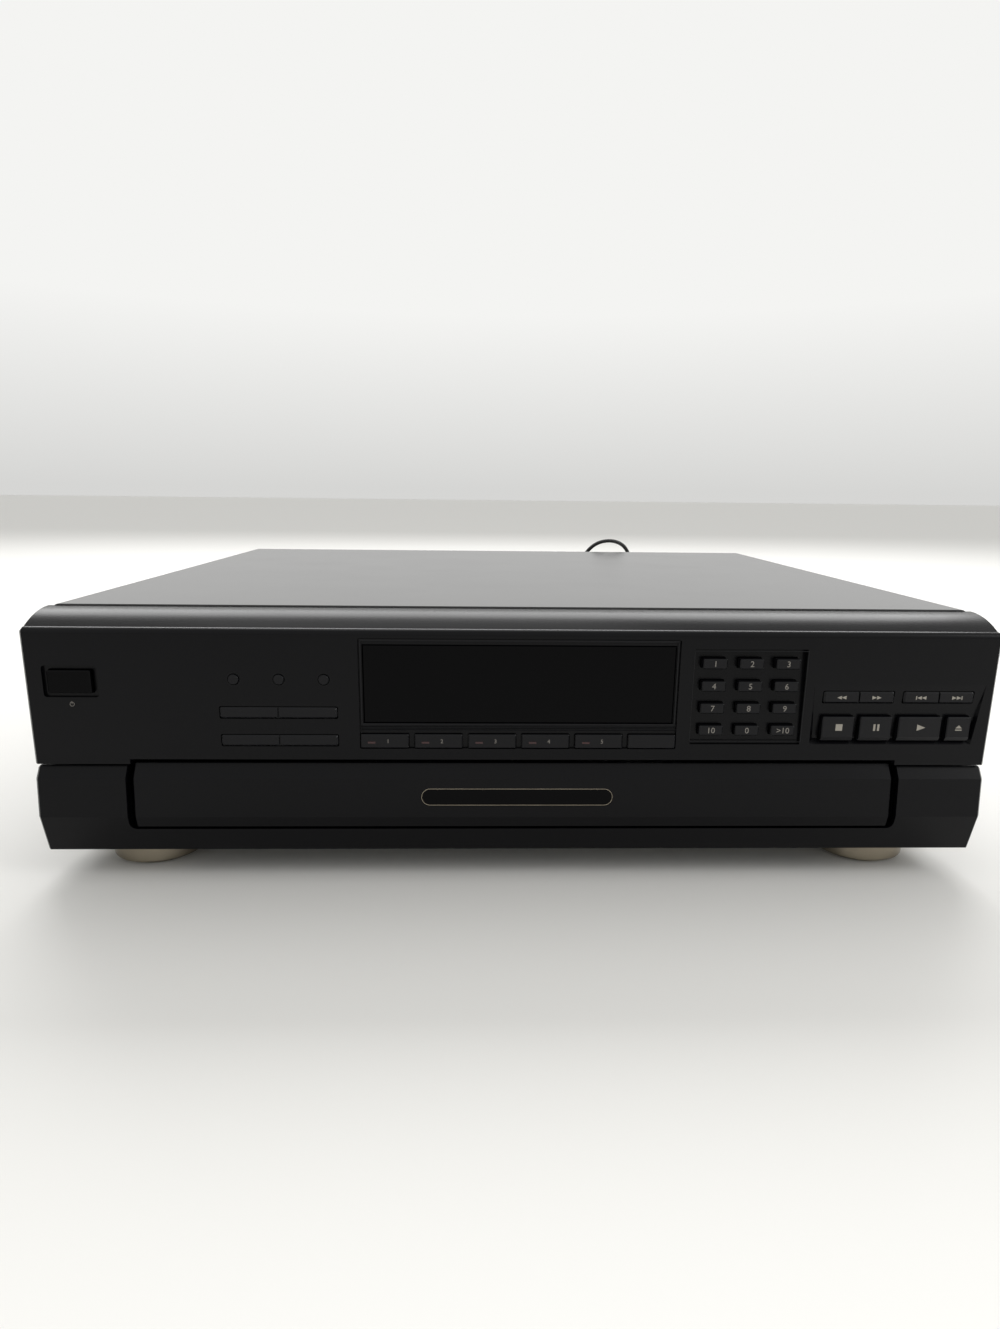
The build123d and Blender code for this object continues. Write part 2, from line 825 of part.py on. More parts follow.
# ---------------------------------------------------------------- deck and rails
with BuildPart() as mechanism_base:
    block((-deck_half_width, deck_half_width), (deck_front_y, deck_back_y), (deck_z, deck_top))
    # opening over which the spindle motor sinks
    clear = spindle_motor_radius + 3
    block((-clear, clear), (disc_y - clear, disc_y + clear), (deck_z, deck_top), Mode.SUBTRACT)
    for side in (-1, 1):
        near = side * rail_x
        far = side * (rail_x + rail_wall)
        block((near, far), (rail_front_y, deck_back_y), (deck_top, rail_top_z))
        # ledges below and above the tray's runner
        tip = side * (tray_half_width + rail_gap)
        for low, high in (
            (runner_low_z - rail_gap - 2.6, runner_low_z - rail_gap),
            (runner_low_z + runner_height + rail_gap, runner_low_z + runner_height + rail_gap + 2.6),
        ):
            block((tip, near), (rail_front_y, deck_back_y), (low, high))
        # buttresses outside the rails
        for y in (-100, -20, 60, 140):
            with BuildSketch(Plane.XZ.offset(-y)):
                Polygon(
                    (far, deck_top), (far, rail_top_z - 4), (far + side * 4, rail_top_z - 4),
                    (far + side * 18, deck_top), align=None)
            extrude(amount=2)
    # window in the left rail for the belt
    block(
        (-rail_x - rail_wall, -rail_x), (drive_y - 22, drive_y + 22),
        (deck_top, belt_z + belt_width + 1.2), Mode.SUBTRACT)
    # feet of the deck on the chassis
    for x in (-160, 0, 160):
        for y in (-120, 20, 150):
            rod((x, y), 5, base_z + sheet, deck_z)
    # pins that guide the pickup unit, and the posts of the loading gear and motor
    for x in (-guide_x, guide_x):
        for y in (unit_front_y + 6, unit_back_y - 5):
            rod((x, y), guide_radius, deck_top, guide_top_z)
    rod((drive_x, drive_y), drive_post_radius, deck_top, rack_z + drive_gear_height)
save(mechanism_base, "mechanism_base")

# ---------------------------------------------------------------- drawer tray
pitch = pi * gear_module
drive_radius = gear_module * drive_teeth / 2
rack_x = drive_x + drive_radius
rack_teeth = int(tray_travel / pitch) + 5
with BuildPart() as loading_tray:
    with BuildSketch(Plane.XY.offset(tray_floor_z)):
        with Locations((0, (tray_front_y + tray_back_y) / 2)):
            Rectangle(2 * tray_half_width, tray_back_y - tray_front_y)
        with Locations((0, (bay_front_y + tray_back_y) / 2)):
            Rectangle(2 * bay_half_width, tray_back_y - bay_front_y, mode=Mode.SUBTRACT)
    extrude(amount=tray_floor)
    # walls: a square rim whose inner side is the carousel's round bowl
    with BuildSketch(Plane.XY.offset(tray_floor_top)):
        with Locations((0, (tray_front_y + tray_back_y) / 2)):
            Rectangle(2 * tray_half_width, tray_back_y - tray_front_y)
        inner = tray_back_y - tray_front_y - 2 * tray_wall
        with Locations((0, (tray_front_y + tray_back_y) / 2)):
            Rectangle(2 * (tray_half_width - tray_wall), inner, mode=Mode.SUBTRACT)
        with Locations((0, carousel_y)):
            Circle(carousel_radius + 1.5, mode=Mode.SUBTRACT)
        with Locations((0, tray_back_y)):
            Rectangle(2 * bay_half_width, 60, mode=Mode.SUBTRACT)
    extrude(amount=tray_wall_top - tray_floor_top)
    # runners along the sides
    for side in (-1, 1):
        edge = side * tray_half_width
        block(
            (edge, edge + side * runner_width), (tray_front_y + 34, tray_back_y),
            (runner_low_z, runner_low_z + runner_height))
    # hub post and pin, and low ribs that carry the carousel's rim
    rod((0, carousel_y), hub_post_radius, tray_floor_top, carousel_z - carousel_rise - 0.3)
    rod((0, carousel_y), hub_pin_radius, carousel_z - carousel_rise - 0.3, carousel_top - 1)
    with BuildSketch(Plane.XY.offset(tray_floor_top)):
        with Locations((0, carousel_y)):
            with PolarLocations(130, 6, start_angle=0):
                Rectangle(36, 2)
            with PolarLocations(130, 1, start_angle=270):
                Rectangle(36, 2)
    extrude(amount=carousel_z - rail_gap - tray_floor_top)
    # hole for the carousel motor
    pinion_radius = gear_module * pinion_teeth / 2
    ring_radius = gear_module * ring_teeth / 2
    reach = ring_radius + pinion_radius
    pinion_x = reach * cos(radians(pinion_angle))
    pinion_y = carousel_y + reach * sin(radians(pinion_angle))
    rod((pinion_x, pinion_y), motor_radius + lap, tray_floor_z, tray_floor_top, Mode.SUBTRACT)
    # the rack under the floor
    with BuildSketch(Plane.XY.offset(rack_z)):
        half = tooth_share * pitch / 2
        slope = tan(radians(pressure_angle))
        tip = 0.9 * gear_module
        root = 1.2 * gear_module
        length = rack_teeth * pitch
        first = drive_y - 2.5 * pitch
        with Locations((rack_x + root + 1.5, first + (length - pitch) / 2)):
            Rectangle(3.0, length)
        with Locations(*[(rack_x, first + i * pitch) for i in range(rack_teeth)]):
            Polygon(
                (-tip, -half + tip * slope),
                (-tip, half - tip * slope),
                (root + 0.2, half + root * slope),
                (root + 0.2, -half - root * slope),
                align=None,
            )
    extrude(amount=tray_floor_z - rack_z)
save(loading_tray, "loading_tray")

with BuildPart() as loading_gear:
    with BuildSketch(Plane.XY.offset(rack_z)):
        with Locations((drive_x, drive_y)):
            gear_outline(drive_teeth)
    extrude(amount=drive_gear_height)
    rod((drive_x, drive_y), drive_pulley_radius, belt_z - 0.2, rack_z)
    bore = drive_post_radius + running_fit
    rod((drive_x, drive_y), bore, belt_z - 0.2, rack_z + drive_gear_height, Mode.SUBTRACT)
save(loading_gear, "loading_gear")

with BuildPart() as loading_motor:
    rod((belt_motor_x, drive_y), motor_radius, belt_z + belt_width + 1.6, belt_z + belt_width + 24)
    rod((belt_motor_x, drive_y), 1.0, belt_z + belt_width, belt_z + belt_width + 1.6)
    rod((belt_motor_x, drive_y), motor_pulley_radius, belt_z, belt_z + belt_width)
    # a saddle that carries the motor on the deck
    low = deck_top
    high = belt_z + belt_width + 1.6
    for side in (-1, 1):
        block(
            (belt_motor_x - 6, belt_motor_x + 6),
            (drive_y + side * 11 - 2, drive_y + side * 11 + 2),
            (low, high + 6))
save(loading_motor, "loading_motor")

with BuildPart() as loading_belt:
    big = drive_pulley_radius + belt_gap
    small = motor_pulley_radius + belt_gap
    with BuildSketch(Plane.XY.offset(belt_z)):
        with Locations((belt_motor_x, drive_y)):
            Circle(small + belt_thickness)
        with Locations((drive_x, drive_y)):
            Circle(big + belt_thickness)
        make_hull()
        with BuildSketch(mode=Mode.PRIVATE) as inside:
            with Locations((belt_motor_x, drive_y)):
                Circle(small)
            with Locations((drive_x, drive_y)):
                Circle(big)
            make_hull()
        add(inside.sketch, mode=Mode.SUBTRACT)
    extrude(amount=belt_width)
save(loading_belt, "loading_belt")

# ---------------------------------------------------------------- carousel
well_radius = disc_diameter / 2 + disc_well_gap
gear_z = carousel_z - carousel_rise
with BuildPart() as carousel:
    rod((0, carousel_y), carousel_radius, carousel_z, carousel_top)
    with BuildSketch(Plane.XY.offset(carousel_z + carousel_plate)):
        with Locations((0, carousel_y)):
            with PolarLocations(disc_orbit, disc_count, start_angle=90):
                Circle(well_radius)
    extrude(amount=carousel_top - carousel_z, mode=Mode.SUBTRACT)
    # one open slot under each disc, for the turntable and the pickup
    slot_reach = carousel_radius + 10 - disc_orbit
    with BuildSketch(Plane.XY.offset(carousel_z)):
        with Locations((0, carousel_y)):
            with PolarLocations(disc_orbit, disc_count, start_angle=90):
                Circle(window_slot / 2)
                with Locations((slot_reach / 2, 0)):
                    Rectangle(slot_reach, window_slot)
    extrude(amount=carousel_top - carousel_z, mode=Mode.SUBTRACT)
    # gear ring and hub below the plate
    with BuildSketch(Plane.XY.offset(gear_z)):
        with Locations((0, carousel_y)):
            gear_outline(ring_teeth, pinion_angle)
            Circle(ring_radius - 5, mode=Mode.SUBTRACT)
            Circle(hub_post_radius - 2)
    extrude(amount=carousel_rise)
    # hollow under the middle, where the cap's screw and the hub pin meet
    bore = hub_pin_radius + running_fit
    rod((0, carousel_y), bore, gear_z, carousel_top, Mode.SUBTRACT)
    fillet(carousel.edges().filter_by(GeomType.CIRCLE).group_by(Axis.Z)[-1]
           .filter_by(lambda e: e.radius > disc_orbit), 1.0)
save(carousel, "carousel")

with BuildPart() as carousel_cap:
    with BuildSketch(Plane.XZ.offset(-carousel_y)):
        with BuildLine():
            low = carousel_top
            Polyline(
                (0, low + cap_thickness),
                (0, low),
                (cap_radius, low),
                (cap_radius, low + 0.6),
            )
            TangentArc((0, low + cap_thickness), (cap_radius, low + 0.6), tangent=(1, 0))
        make_face()
    revolve(axis=Axis((0, carousel_y, 0), (0, 0, 1)))
save(carousel_cap, "carousel_cap")

with BuildPart() as carousel_motor:
    rod((pinion_x, pinion_y), motor_radius, motor_bottom_z, gear_z - 0.8)
    rod((pinion_x, pinion_y), 1.0, gear_z - 0.8, carousel_z - 0.6)
    # ears that rest on the tray floor
    with BuildSketch(Plane.XY.offset(tray_floor_top)):
        with Locations((pinion_x, pinion_y)):
            SlotOverall(2 * motor_radius + 12, 8, rotation=pinion_angle + 90)
            Circle(motor_radius)
    extrude(amount=1.4)
save(carousel_motor, "carousel_motor")

with BuildPart() as carousel_pinion:
    with BuildSketch(Plane.XY.offset(gear_z)):
        with Locations((pinion_x, pinion_y)):
            gear_outline(pinion_teeth, pinion_angle + 180 + 180 / pinion_teeth)
            Circle(1.0 + running_fit, mode=Mode.SUBTRACT)
    extrude(amount=carousel_rise - 0.4)
save(carousel_pinion, "carousel_pinion")

# ---------------------------------------------------------------- pickup unit
sled_y = disc_y + sled_start
rod_z = unit_z + unit_thickness / 2
window_front = sled_y - sled_length / 2 - 1
window_back = unit_back_y - window_web
with BuildPart() as traverse_frame:
    block((-unit_half_width, unit_half_width), (unit_front_y, unit_back_y), (unit_z, unit_top))
    # window for the sled, guide holes, and the spindle motor below
    block((-unit_window, unit_window), (window_front, window_back), (unit_z, unit_top), Mode.SUBTRACT)
    for x in (-guide_x, guide_x):
        for y in (unit_front_y + 6, unit_back_y - 5):
            rod((x, y), guide_radius + 0.3, unit_z, unit_top, Mode.SUBTRACT)
    rod((0, disc_y), spindle_motor_radius, unit_z - spindle_motor_height, unit_z)
    rod((0, disc_y), spindle_radius + running_fit, unit_z - spindle_motor_height + 1, unit_top, Mode.SUBTRACT)
    # two rods across the window, on which the sled runs
    for x in (-rod_x, rod_x):
        with BuildSketch(Plane.XZ.offset(-window_front)):
            with Locations((x, rod_z)):
                Circle(rod_radius)
        extrude(amount=-(window_back - window_front))
    # tabs for the rubber dampers
    for side in (-1, 1):
        for edge in (unit_front_y + 14, disc_y - 6):
            block((side * 18, side * 30), (edge, edge + 1.6), (unit_top, unit_top + 1.4))
save(traverse_frame, "traverse_frame")

with BuildPart() as turntable:
    with BuildSketch(Plane.XZ.offset(-disc_y)):
        with BuildLine():
            low = unit_top + 0.4
            Polyline(
                (0, unit_z - spindle_motor_height + 1.6),
                (spindle_radius, unit_z - spindle_motor_height + 1.6),
                (spindle_radius, low),
                (5.5, low),
                (5.5, seat_z - 3.6),
                (turntable_radius - 1.5, seat_z - 2.2),
                (turntable_radius, seat_z - 1.6),
                (turntable_radius, seat_z),
                (cone_radius + 0.6, seat_z),
                (cone_radius + 0.6, seat_z - 0.5),
                (cone_radius, seat_z - 0.5),
                (cone_radius, seat_z + 1.2),
                (cone_radius - 2.0, seat_z + cone_height),
                (0, seat_z + cone_height),
                (0, unit_z - spindle_motor_height + 1.6),
            )
        make_face()
    revolve(axis=Axis((0, disc_y, 0), (0, 0, 1)))
save(turntable, "turntable")

with BuildPart() as pickup_sled:
    block(
        (-sled_half_width, sled_half_width),
        (sled_y - sled_length / 2, sled_y + sled_length / 2), (sled_low_z, sled_top_z))
    # the optical block that looks up through the carousel's slot
    with BuildSketch(Plane.XY.offset(sled_top_z)):
        with Locations((0, sled_y)):
            RectangleRounded(18, sled_length - 1, 2)
    extrude(amount=lens_top_z - 1.0 - sled_top_z, taper=6)
    rod((0, sled_y), 3.2, lens_top_z - 1.0, lens_top_z - 0.4)
    rod((0, sled_y), 2.2, lens_top_z - 0.4, lens_top_z)
    for x in (-rod_x, rod_x):
        with BuildSketch(Plane.XZ.offset(-(sled_y - sled_length / 2))):
            with Locations((x, rod_z)):
                Circle(rod_radius + running_fit)
        extrude(amount=-sled_length, mode=Mode.SUBTRACT)
save(pickup_sled, "pickup_sled")

# ---------------------------------------------------------------- clamp
bridge_z = rail_top_z
bridge_top = bridge_z + bridge_sheet
with BuildPart() as clamper_bridge:
    bridge_y = (bridge_front_y, bridge_back_y)
    block((-bridge_half_width, bridge_half_width), bridge_y, (bridge_z, bridge_top))
    # upturned edges stiffen it
    for edge, into in ((bridge_front_y, 1), (bridge_back_y, -1)):
        block(
            (-bridge_half_width + 12, bridge_half_width - 12),
            (edge, edge + into * bridge_sheet), (bridge_top, bridge_top + bridge_flange))
    rod((0, disc_y), puck_radius + 0.5, bridge_z, bridge_top, Mode.SUBTRACT)
    with BuildSketch(Plane.XY.offset(bridge_z)):
        with Locations((-52, disc_y), (52, disc_y)):
            SlotOverall(50, 20, rotation=90)
    extrude(amount=bridge_sheet, mode=Mode.SUBTRACT)
save(clamper_bridge, "clamper_bridge")

with BuildPart() as clamper_puck:
    with BuildSketch(Plane.XZ.offset(-disc_y)):
        flange_z = bridge_top + puck_gap
        hollow = cone_radius + 1.6
        Polygon(
            (0, puck_bottom_z + cone_height + 0.6),
            (hollow, puck_bottom_z + cone_height + 0.6),
            (hollow, puck_bottom_z),
            (puck_radius - 0.5, puck_bottom_z),
            (puck_radius, puck_bottom_z + 0.5),
            (puck_radius, flange_z),
            (puck_flange, flange_z),
            (puck_flange, flange_z + 1.2),
            (puck_radius - 3, flange_z + 2.4),
            (0, flange_z + 2.4),
            align=None,
        )
    revolve(axis=Axis((0, disc_y, 0), (0, 0, 1)))
save(clamper_puck, "clamper_puck")

# ---------------------------------------------------------------- electronics
board_x = (main_board_x - main_board_width / 2, main_board_x + main_board_width / 2)
board_top = main_board_z + board_thickness
with BuildPart() as main_board:
    block(board_x, (main_board_front_y, back_y - 2), (main_board_z, board_top))
    for x in (board_x[0] + 6, board_x[1] - 6):
        for y in (main_board_front_y + 6, bridge_back_y - 8):
            rod((x, y), 3, bridge_top, main_board_z)
    # processor, driver chips, capacitors and a heat sink
    with BuildSketch(Plane.XY.offset(board_top)):
        with Locations((main_board_x - 10, main_board_front_y + 40)):
            Rectangle(20, 20)
        with Locations((main_board_x + 30, main_board_front_y + 30)):
            with GridLocations(18, 16, 2, 2):
                Rectangle(8, 12)
    extrude(amount=2.4)
    with BuildSketch(Plane.XY.offset(board_top)):
        with Locations((main_board_x + 58, main_board_front_y + 20)):
            with GridLocations(13, 15, 2, 3):
                Circle(5)
    extrude(amount=16)
    block((main_board_x - 66, main_board_x - 60), (main_board_front_y + 10, main_board_front_y + 60),
          (board_top, board_top + 26))
save(main_board, "main_board")

with BuildPart() as transformer:
    base = bridge_top
    core_x = (transformer_x - transformer_width / 2, transformer_x + transformer_width / 2)
    core_y = (transformer_y - transformer_stack / 2, transformer_y + transformer_stack / 2)
    block(core_x, core_y, (base, base + transformer_height))
    # windings fill the core's two windows and stand out before and behind it
    with BuildSketch(Plane.XY.offset(base + 7)):
        with Locations((transformer_x, transformer_y)):
            RectangleRounded(transformer_width - 18, transformer_stack + 18, 4)
    extrude(amount=transformer_height - 14)
    # mounting feet
    block((core_x[0] - 7, core_x[1] + 7), core_y, (base, base + 2))
save(transformer, "transformer")

jack_spots = [(jack_x, jack_z + i * jack_pitch) for i in range(2)]
with BuildPart() as rear_jacks:
    block(
        (jack_x - jack_block / 2, jack_x + jack_block / 2), (back_y - 14, back_face_y + 0.6),
        (jack_low, jack_high))
    with BuildSketch(Plane.XZ.offset(-back_face_y)):
        with Locations(*jack_spots):
            Circle(jack_radius)
            Circle(jack_radius - 0.9, mode=Mode.SUBTRACT)
            Circle(jack_pin_radius)
            Circle(jack_pin_radius - 0.6, mode=Mode.SUBTRACT)
    extrude(amount=-jack_reach)
save(rear_jacks, "rear_jacks")

# ---------------------------------------------------------------- mains lead
relief_end = back_face_y + relief_length
cord_radius = cord_diameter / 2
with BuildPart() as cord_grommet:
    with BuildSketch(Plane.YZ.offset(cord_x)):
        with BuildLine():
            Polyline(
                (back_y - 4, cord_z),
                (back_y - 4, cord_z + relief_radius + 1.6),
                (back_y - lap, cord_z + relief_radius + 1.6),
                (back_y - lap, cord_z + relief_radius + 0.8),
                (back_face_y + lap, cord_z + relief_radius + 0.8),
                (back_face_y + lap, cord_z + relief_radius + 2.0),
                (back_face_y + 2.2, cord_z + relief_radius + 2.0),
                (back_face_y + 3.0, cord_z + relief_radius - 0.6),
                (relief_end, cord_z + cord_radius + 0.8),
                (relief_end, cord_z),
                (back_y - 4, cord_z),
            )
        make_face()
    revolve(axis=Axis((cord_x, back_y, cord_z), (0, 1, 0)))
save(cord_grommet, "cord_grommet")

coil_centre = Vector(coil_x, coil_y, 0)
coil_height = cord_radius + (coil_layers - 1) * coil_pitch


def coil_stops():
    # the tube's place after each half turn: angle, radius and height, from the top down
    stops = [(-90.0, coil_outer, coil_height)]
    radius = coil_outer
    for layer in range(coil_layers):
        step = -coil_pitch / 2 if layer % 2 == 0 else coil_pitch / 2
        height = coil_height - layer * coil_pitch
        for half in range(2 * coil_turns_in_layer):
            radius += step
            stops.append((stops[-1][0] + 180, radius, height))
        if layer < coil_layers - 1:
            wider = radius - coil_climb_step if step < 0 else radius + coil_climb_step
            stops.append((stops[-1][0] + 180, wider, height - coil_pitch))
    # out past the coil and up to the height of the plug
    angle, radius, _ = stops[-1]
    stops.append((angle + 180, radius + coil_exit_step, plug_thickness / 2))
    return stops


def arcs_meet(start, start_way, end, end_way):
    # where two arcs meet that leave start and reach end in the given directions, half a turn apart
    reach = (end - start).length / 2
    return (start + start_way * reach + end - end_way * reach) * 0.5


def around(angle, radius, height):
    turn = radians(angle)
    return coil_centre + Vector(-radius * cos(turn), radius * sin(turn), height)


def heading(angle):
    turn = radians(angle)
    return Vector(sin(turn), cos(turn), 0)


stops = coil_stops()
coil_start = around(*stops[0])
coil_end = around(*stops[-1])
plug_way = heading(stops[-1][0])
with BuildPart() as cord_coil:
    with BuildLine() as coil_path:
        lead_in = coil_start - heading(stops[0][0]) * cord_diameter
        Line(lead_in, coil_start)
        for here, there in zip(stops, stops[1:]):
            begin = around(*here)
            finish = around(*there)
            middle = arcs_meet(begin, heading(here[0]), finish, heading(there[0]))
            TangentArc(begin, middle, tangent=heading(here[0]))
            TangentArc(finish, middle, tangent=-heading(there[0]))
        coil_lead_out = coil_end + plug_way * cord_diameter
        Line(coil_end, coil_lead_out)
    with BuildSketch(Plane(lead_in, z_dir=heading(stops[0][0]))):
        Circle(cord_radius)
    sweep(path=coil_path.wires()[0])
save(cord_coil, "cord_coil")
coil_length = coil_path.wires()[0].length
section = pi * cord_radius ** 2
coil_share = cord_coil.part.volume / section / coil_length
print("coil length", round(coil_length, 1), "volume share", round(coil_share, 4))

# the least gap between turns, on points 2 mm apart along the tube
count = int(coil_length / 2)
points = [coil_path.wires()[0].position_at(i / count) for i in range(count + 1)]
skip = int(4 * cord_diameter / 2)
gaps = [
    (p - q).length - cord_diameter
    for i, p in enumerate(points)
    for q in points[i + skip:]
]
print("coil least gap", round(min(gaps), 2))

# The free stretch: out of the relief, up over a loop that shows above the cover's
# rear edge, then down to the top of the coil.
route = [
    (cord_x, relief_end, cord_z),
    (cord_x, relief_end + 11, cord_z),
    (cord_x + 0.5, relief_end + 23, cord_z + 7.2),
    (cord_x + 2, relief_end + 29, cord_z + 23),
    (cord_x + 4.5, relief_end + 27.5, cord_z + 41),
    (cord_x + 10.5, relief_end + 23, cord_z + 56.3),
    (cord_x + 19.3, relief_end + 18.9, cord_z + 66.9),
    (cord_x + 30.9, relief_end + 17.3, cord_z + 70.7),
    (cord_x + 42.5, relief_end + 18.9, cord_z + 68.9),
    (cord_x + 51.2, relief_end + 23, cord_z + 61.9),
    (cord_x + 54.9, relief_end + 27.2, cord_z + 50.5),
    (cord_x + 53, relief_end + 27.5, cord_z + 34),
    (cord_x + 51, relief_end + 24, cord_z + 16),
    (cord_x + 49.5, relief_end + 19, cord_z - 1),
    (cord_x + 48, relief_end + 13, cord_z - 17.5),
    (lead_in.X + 29.3, relief_end + 8.8, coil_height + 17.6),
    (lead_in.X + 23.6, coil_y - coil_outer + 1.2, coil_height + 6.6),
    (lead_in.X + 12, coil_y - coil_outer, coil_height),
    (lead_in.X, coil_y - coil_outer, coil_height),
]


def corner_radii(points):
    spots = [Vector(*p) for p in points]
    radii = []
    for before, here, after in zip(spots, spots[1:], spots[2:]):
        run_in = here - before
        run_out = after - here
        turn = run_in.get_angle(run_out)
        shorter = min(run_in.length, run_out.length)
        radii.append(0.45 * shorter / tan(radians(turn / 2)))
        print("run", round(run_in.length, 1), "turn", round(turn, 1), "radius", round(radii[-1], 1))
    return radii


with BuildPart() as mains_cord:
    with BuildLine() as cord_path:
        FilletPolyline(*route, radius=corner_radii(route))
    with BuildSketch(Plane(route[0], z_dir=(0, 1, 0))):
        Circle(cord_radius)
    sweep(path=cord_path.wires()[0])
save(mains_cord, "mains_cord")
cord_length = cord_path.wires()[0].length
cord_share = mains_cord.part.volume / section / cord_length
print("cord length", round(cord_length, 1), "volume share", round(cord_share, 4))

# a flat two pin plug that lies behind the coil, with a tapered sleeve on the cord
plug_base = Plane(coil_lead_out, x_dir=(0, 0, 1), z_dir=plug_way)
shoulder = plug_neck + plug_length * 0.4
with BuildPart() as mains_plug:
    with BuildSketch(plug_base):
        Circle(cord_radius + 1.0)
    with BuildSketch(plug_base.offset(plug_neck)):
        RectangleRounded(plug_thickness - 3.4, 12, 3)
    loft()
    with BuildSketch(plug_base.offset(plug_neck)):
        RectangleRounded(plug_thickness - 3.4, 12, 3)
    with BuildSketch(plug_base.offset(shoulder)):
        RectangleRounded(plug_thickness, plug_width, 4)
    loft()
    with BuildSketch(plug_base.offset(shoulder)):
        RectangleRounded(plug_thickness, plug_width, 4)
    extrude(amount=plug_length * 0.6)
    with BuildSketch(plug_base.offset(plug_neck + plug_length)):
        with GridLocations(0, pin_pitch, 1, 2):
            Circle(pin_radius)
    extrude(amount=pin_length)
save(mains_plug, "mains_plug")
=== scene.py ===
import json
from math import atan2, cos, pi, radians, sin

import bmesh
import bpy
from mathutils import Matrix, Vector


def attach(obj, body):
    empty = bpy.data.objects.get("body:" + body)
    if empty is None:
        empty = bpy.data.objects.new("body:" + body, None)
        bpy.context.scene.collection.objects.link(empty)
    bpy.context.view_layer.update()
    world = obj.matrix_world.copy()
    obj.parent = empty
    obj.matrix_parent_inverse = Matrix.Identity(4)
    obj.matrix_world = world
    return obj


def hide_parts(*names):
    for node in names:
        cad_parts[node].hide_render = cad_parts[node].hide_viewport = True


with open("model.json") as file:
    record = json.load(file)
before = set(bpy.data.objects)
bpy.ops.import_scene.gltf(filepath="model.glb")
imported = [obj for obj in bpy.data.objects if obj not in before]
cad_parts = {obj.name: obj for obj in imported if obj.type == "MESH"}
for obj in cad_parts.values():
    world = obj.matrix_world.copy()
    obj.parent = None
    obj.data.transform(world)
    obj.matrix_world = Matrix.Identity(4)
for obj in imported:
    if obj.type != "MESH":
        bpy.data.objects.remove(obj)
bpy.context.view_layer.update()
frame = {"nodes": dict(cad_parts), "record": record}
nodes = frame["nodes"]
mm = 0.001
print("frame loaded:", len(nodes), "nodes")

# places on the front that several pieces share, in mm
front = {
    "faceY": -178.2,  # flat face of the upper fascia
    "splitZ": 56.5,  # its lower edge
    "windowX": 0.35,
    "keypadX": 102.8,
    "keypadPitchX": 16.3,
    "keypadPitchZ": 10.2,
    "keypadZ": 32.0,
}

# ------ camera

cameraView = {
    "lens": 20.82,
    "sensor": 36,
    "near": 0.01,
    "place": (-0.0180, -0.5069, 0.1781),
    "yaw": 1.658,  # degrees to the right
    "pitch": 12.881,  # degrees down
    "roll": 0.649,
}


def makeCamera(setup):
    data = bpy.data.cameras.new("camera")
    data.lens = setup["lens"]
    data.sensor_width = setup["sensor"]
    data.clip_start = setup["near"]
    camera = bpy.data.objects.new("camera", data)
    bpy.context.collection.objects.link(camera)
    turn = Matrix.Rotation(-radians(setup["yaw"]), 4, "Z")
    turn = turn @ Matrix.Rotation(radians(90 - setup["pitch"]), 4, "X")
    turn = turn @ Matrix.Rotation(radians(setup["roll"]), 4, "Z")
    camera.matrix_world = Matrix.Translation(setup["place"]) @ turn
    bpy.context.scene.camera = camera


makeCamera(cameraView)
print("camera placed")

# ------ materials


def linearColour(hexCode):
    channels = [int(hexCode[i:i + 2], 16) / 255 for i in (0, 2, 4)]
    return [c / 12.92 if c <= 0.04045 else ((c + 0.055) / 1.055) ** 2.4 for c in channels] + [1.0]


def addNode(tree, kind, values=None, links=None, **settings):
    node = tree.nodes.new(kind)
    for key, value in settings.items():
        setattr(node, key, value)
    for key, value in (values or {}).items():
        node.inputs[key].default_value = value
    for key, source in (links or {}).items():
        tree.links.new(source, node.inputs[key])
    return node


def makeSurface(name, look):
    # two close colours in soft patches, a roughness that wanders, and a fine moulded or rolled grain
    material = bpy.data.materials.new(name)
    material.use_nodes = True
    tree = material.node_tree
    shader = tree.nodes["Principled BSDF"]
    place = addNode(tree, "ShaderNodeTexCoord").outputs["Object"]
    stretch = look.get("stretch", (1, 1, 1))
    place = addNode(tree, "ShaderNodeMapping", {"Scale": stretch}, {"Vector": place}).outputs["Vector"]
    patches = addNode(
        tree, "ShaderNodeTexNoise", {"Scale": 1 / (look["patch"] * mm), "Detail": 4.0}, {"Vector": place})
    blend = addNode(tree, "ShaderNodeMix", links={"Factor": patches.outputs["Fac"]}, data_type="RGBA")
    blend.inputs[6].default_value = linearColour(look["colour"])
    blend.inputs[7].default_value = linearColour(look["other"])
    tree.links.new(blend.outputs[2], shader.inputs["Base Color"])
    low, high = look["roughness"]
    wander = addNode(
        tree, "ShaderNodeMapRange", {"To Min": low, "To Max": high}, {"Value": patches.outputs["Fac"]})
    tree.links.new(wander.outputs["Result"], shader.inputs["Roughness"])
    grain = addNode(
        tree, "ShaderNodeTexNoise", {"Scale": 1 / (look["grain"] * mm), "Detail": 3.0}, {"Vector": place})
    bump = addNode(
        tree, "ShaderNodeBump", {"Strength": look.get("relief", 0.3), "Distance": look["grainDepth"] * mm},
        {"Height": grain.outputs["Fac"]})
    tree.links.new(bump.outputs["Normal"], shader.inputs["Normal"])
    for socket, value in look.get("sockets", {}).items():
        shader.inputs[socket].default_value = value
    return material


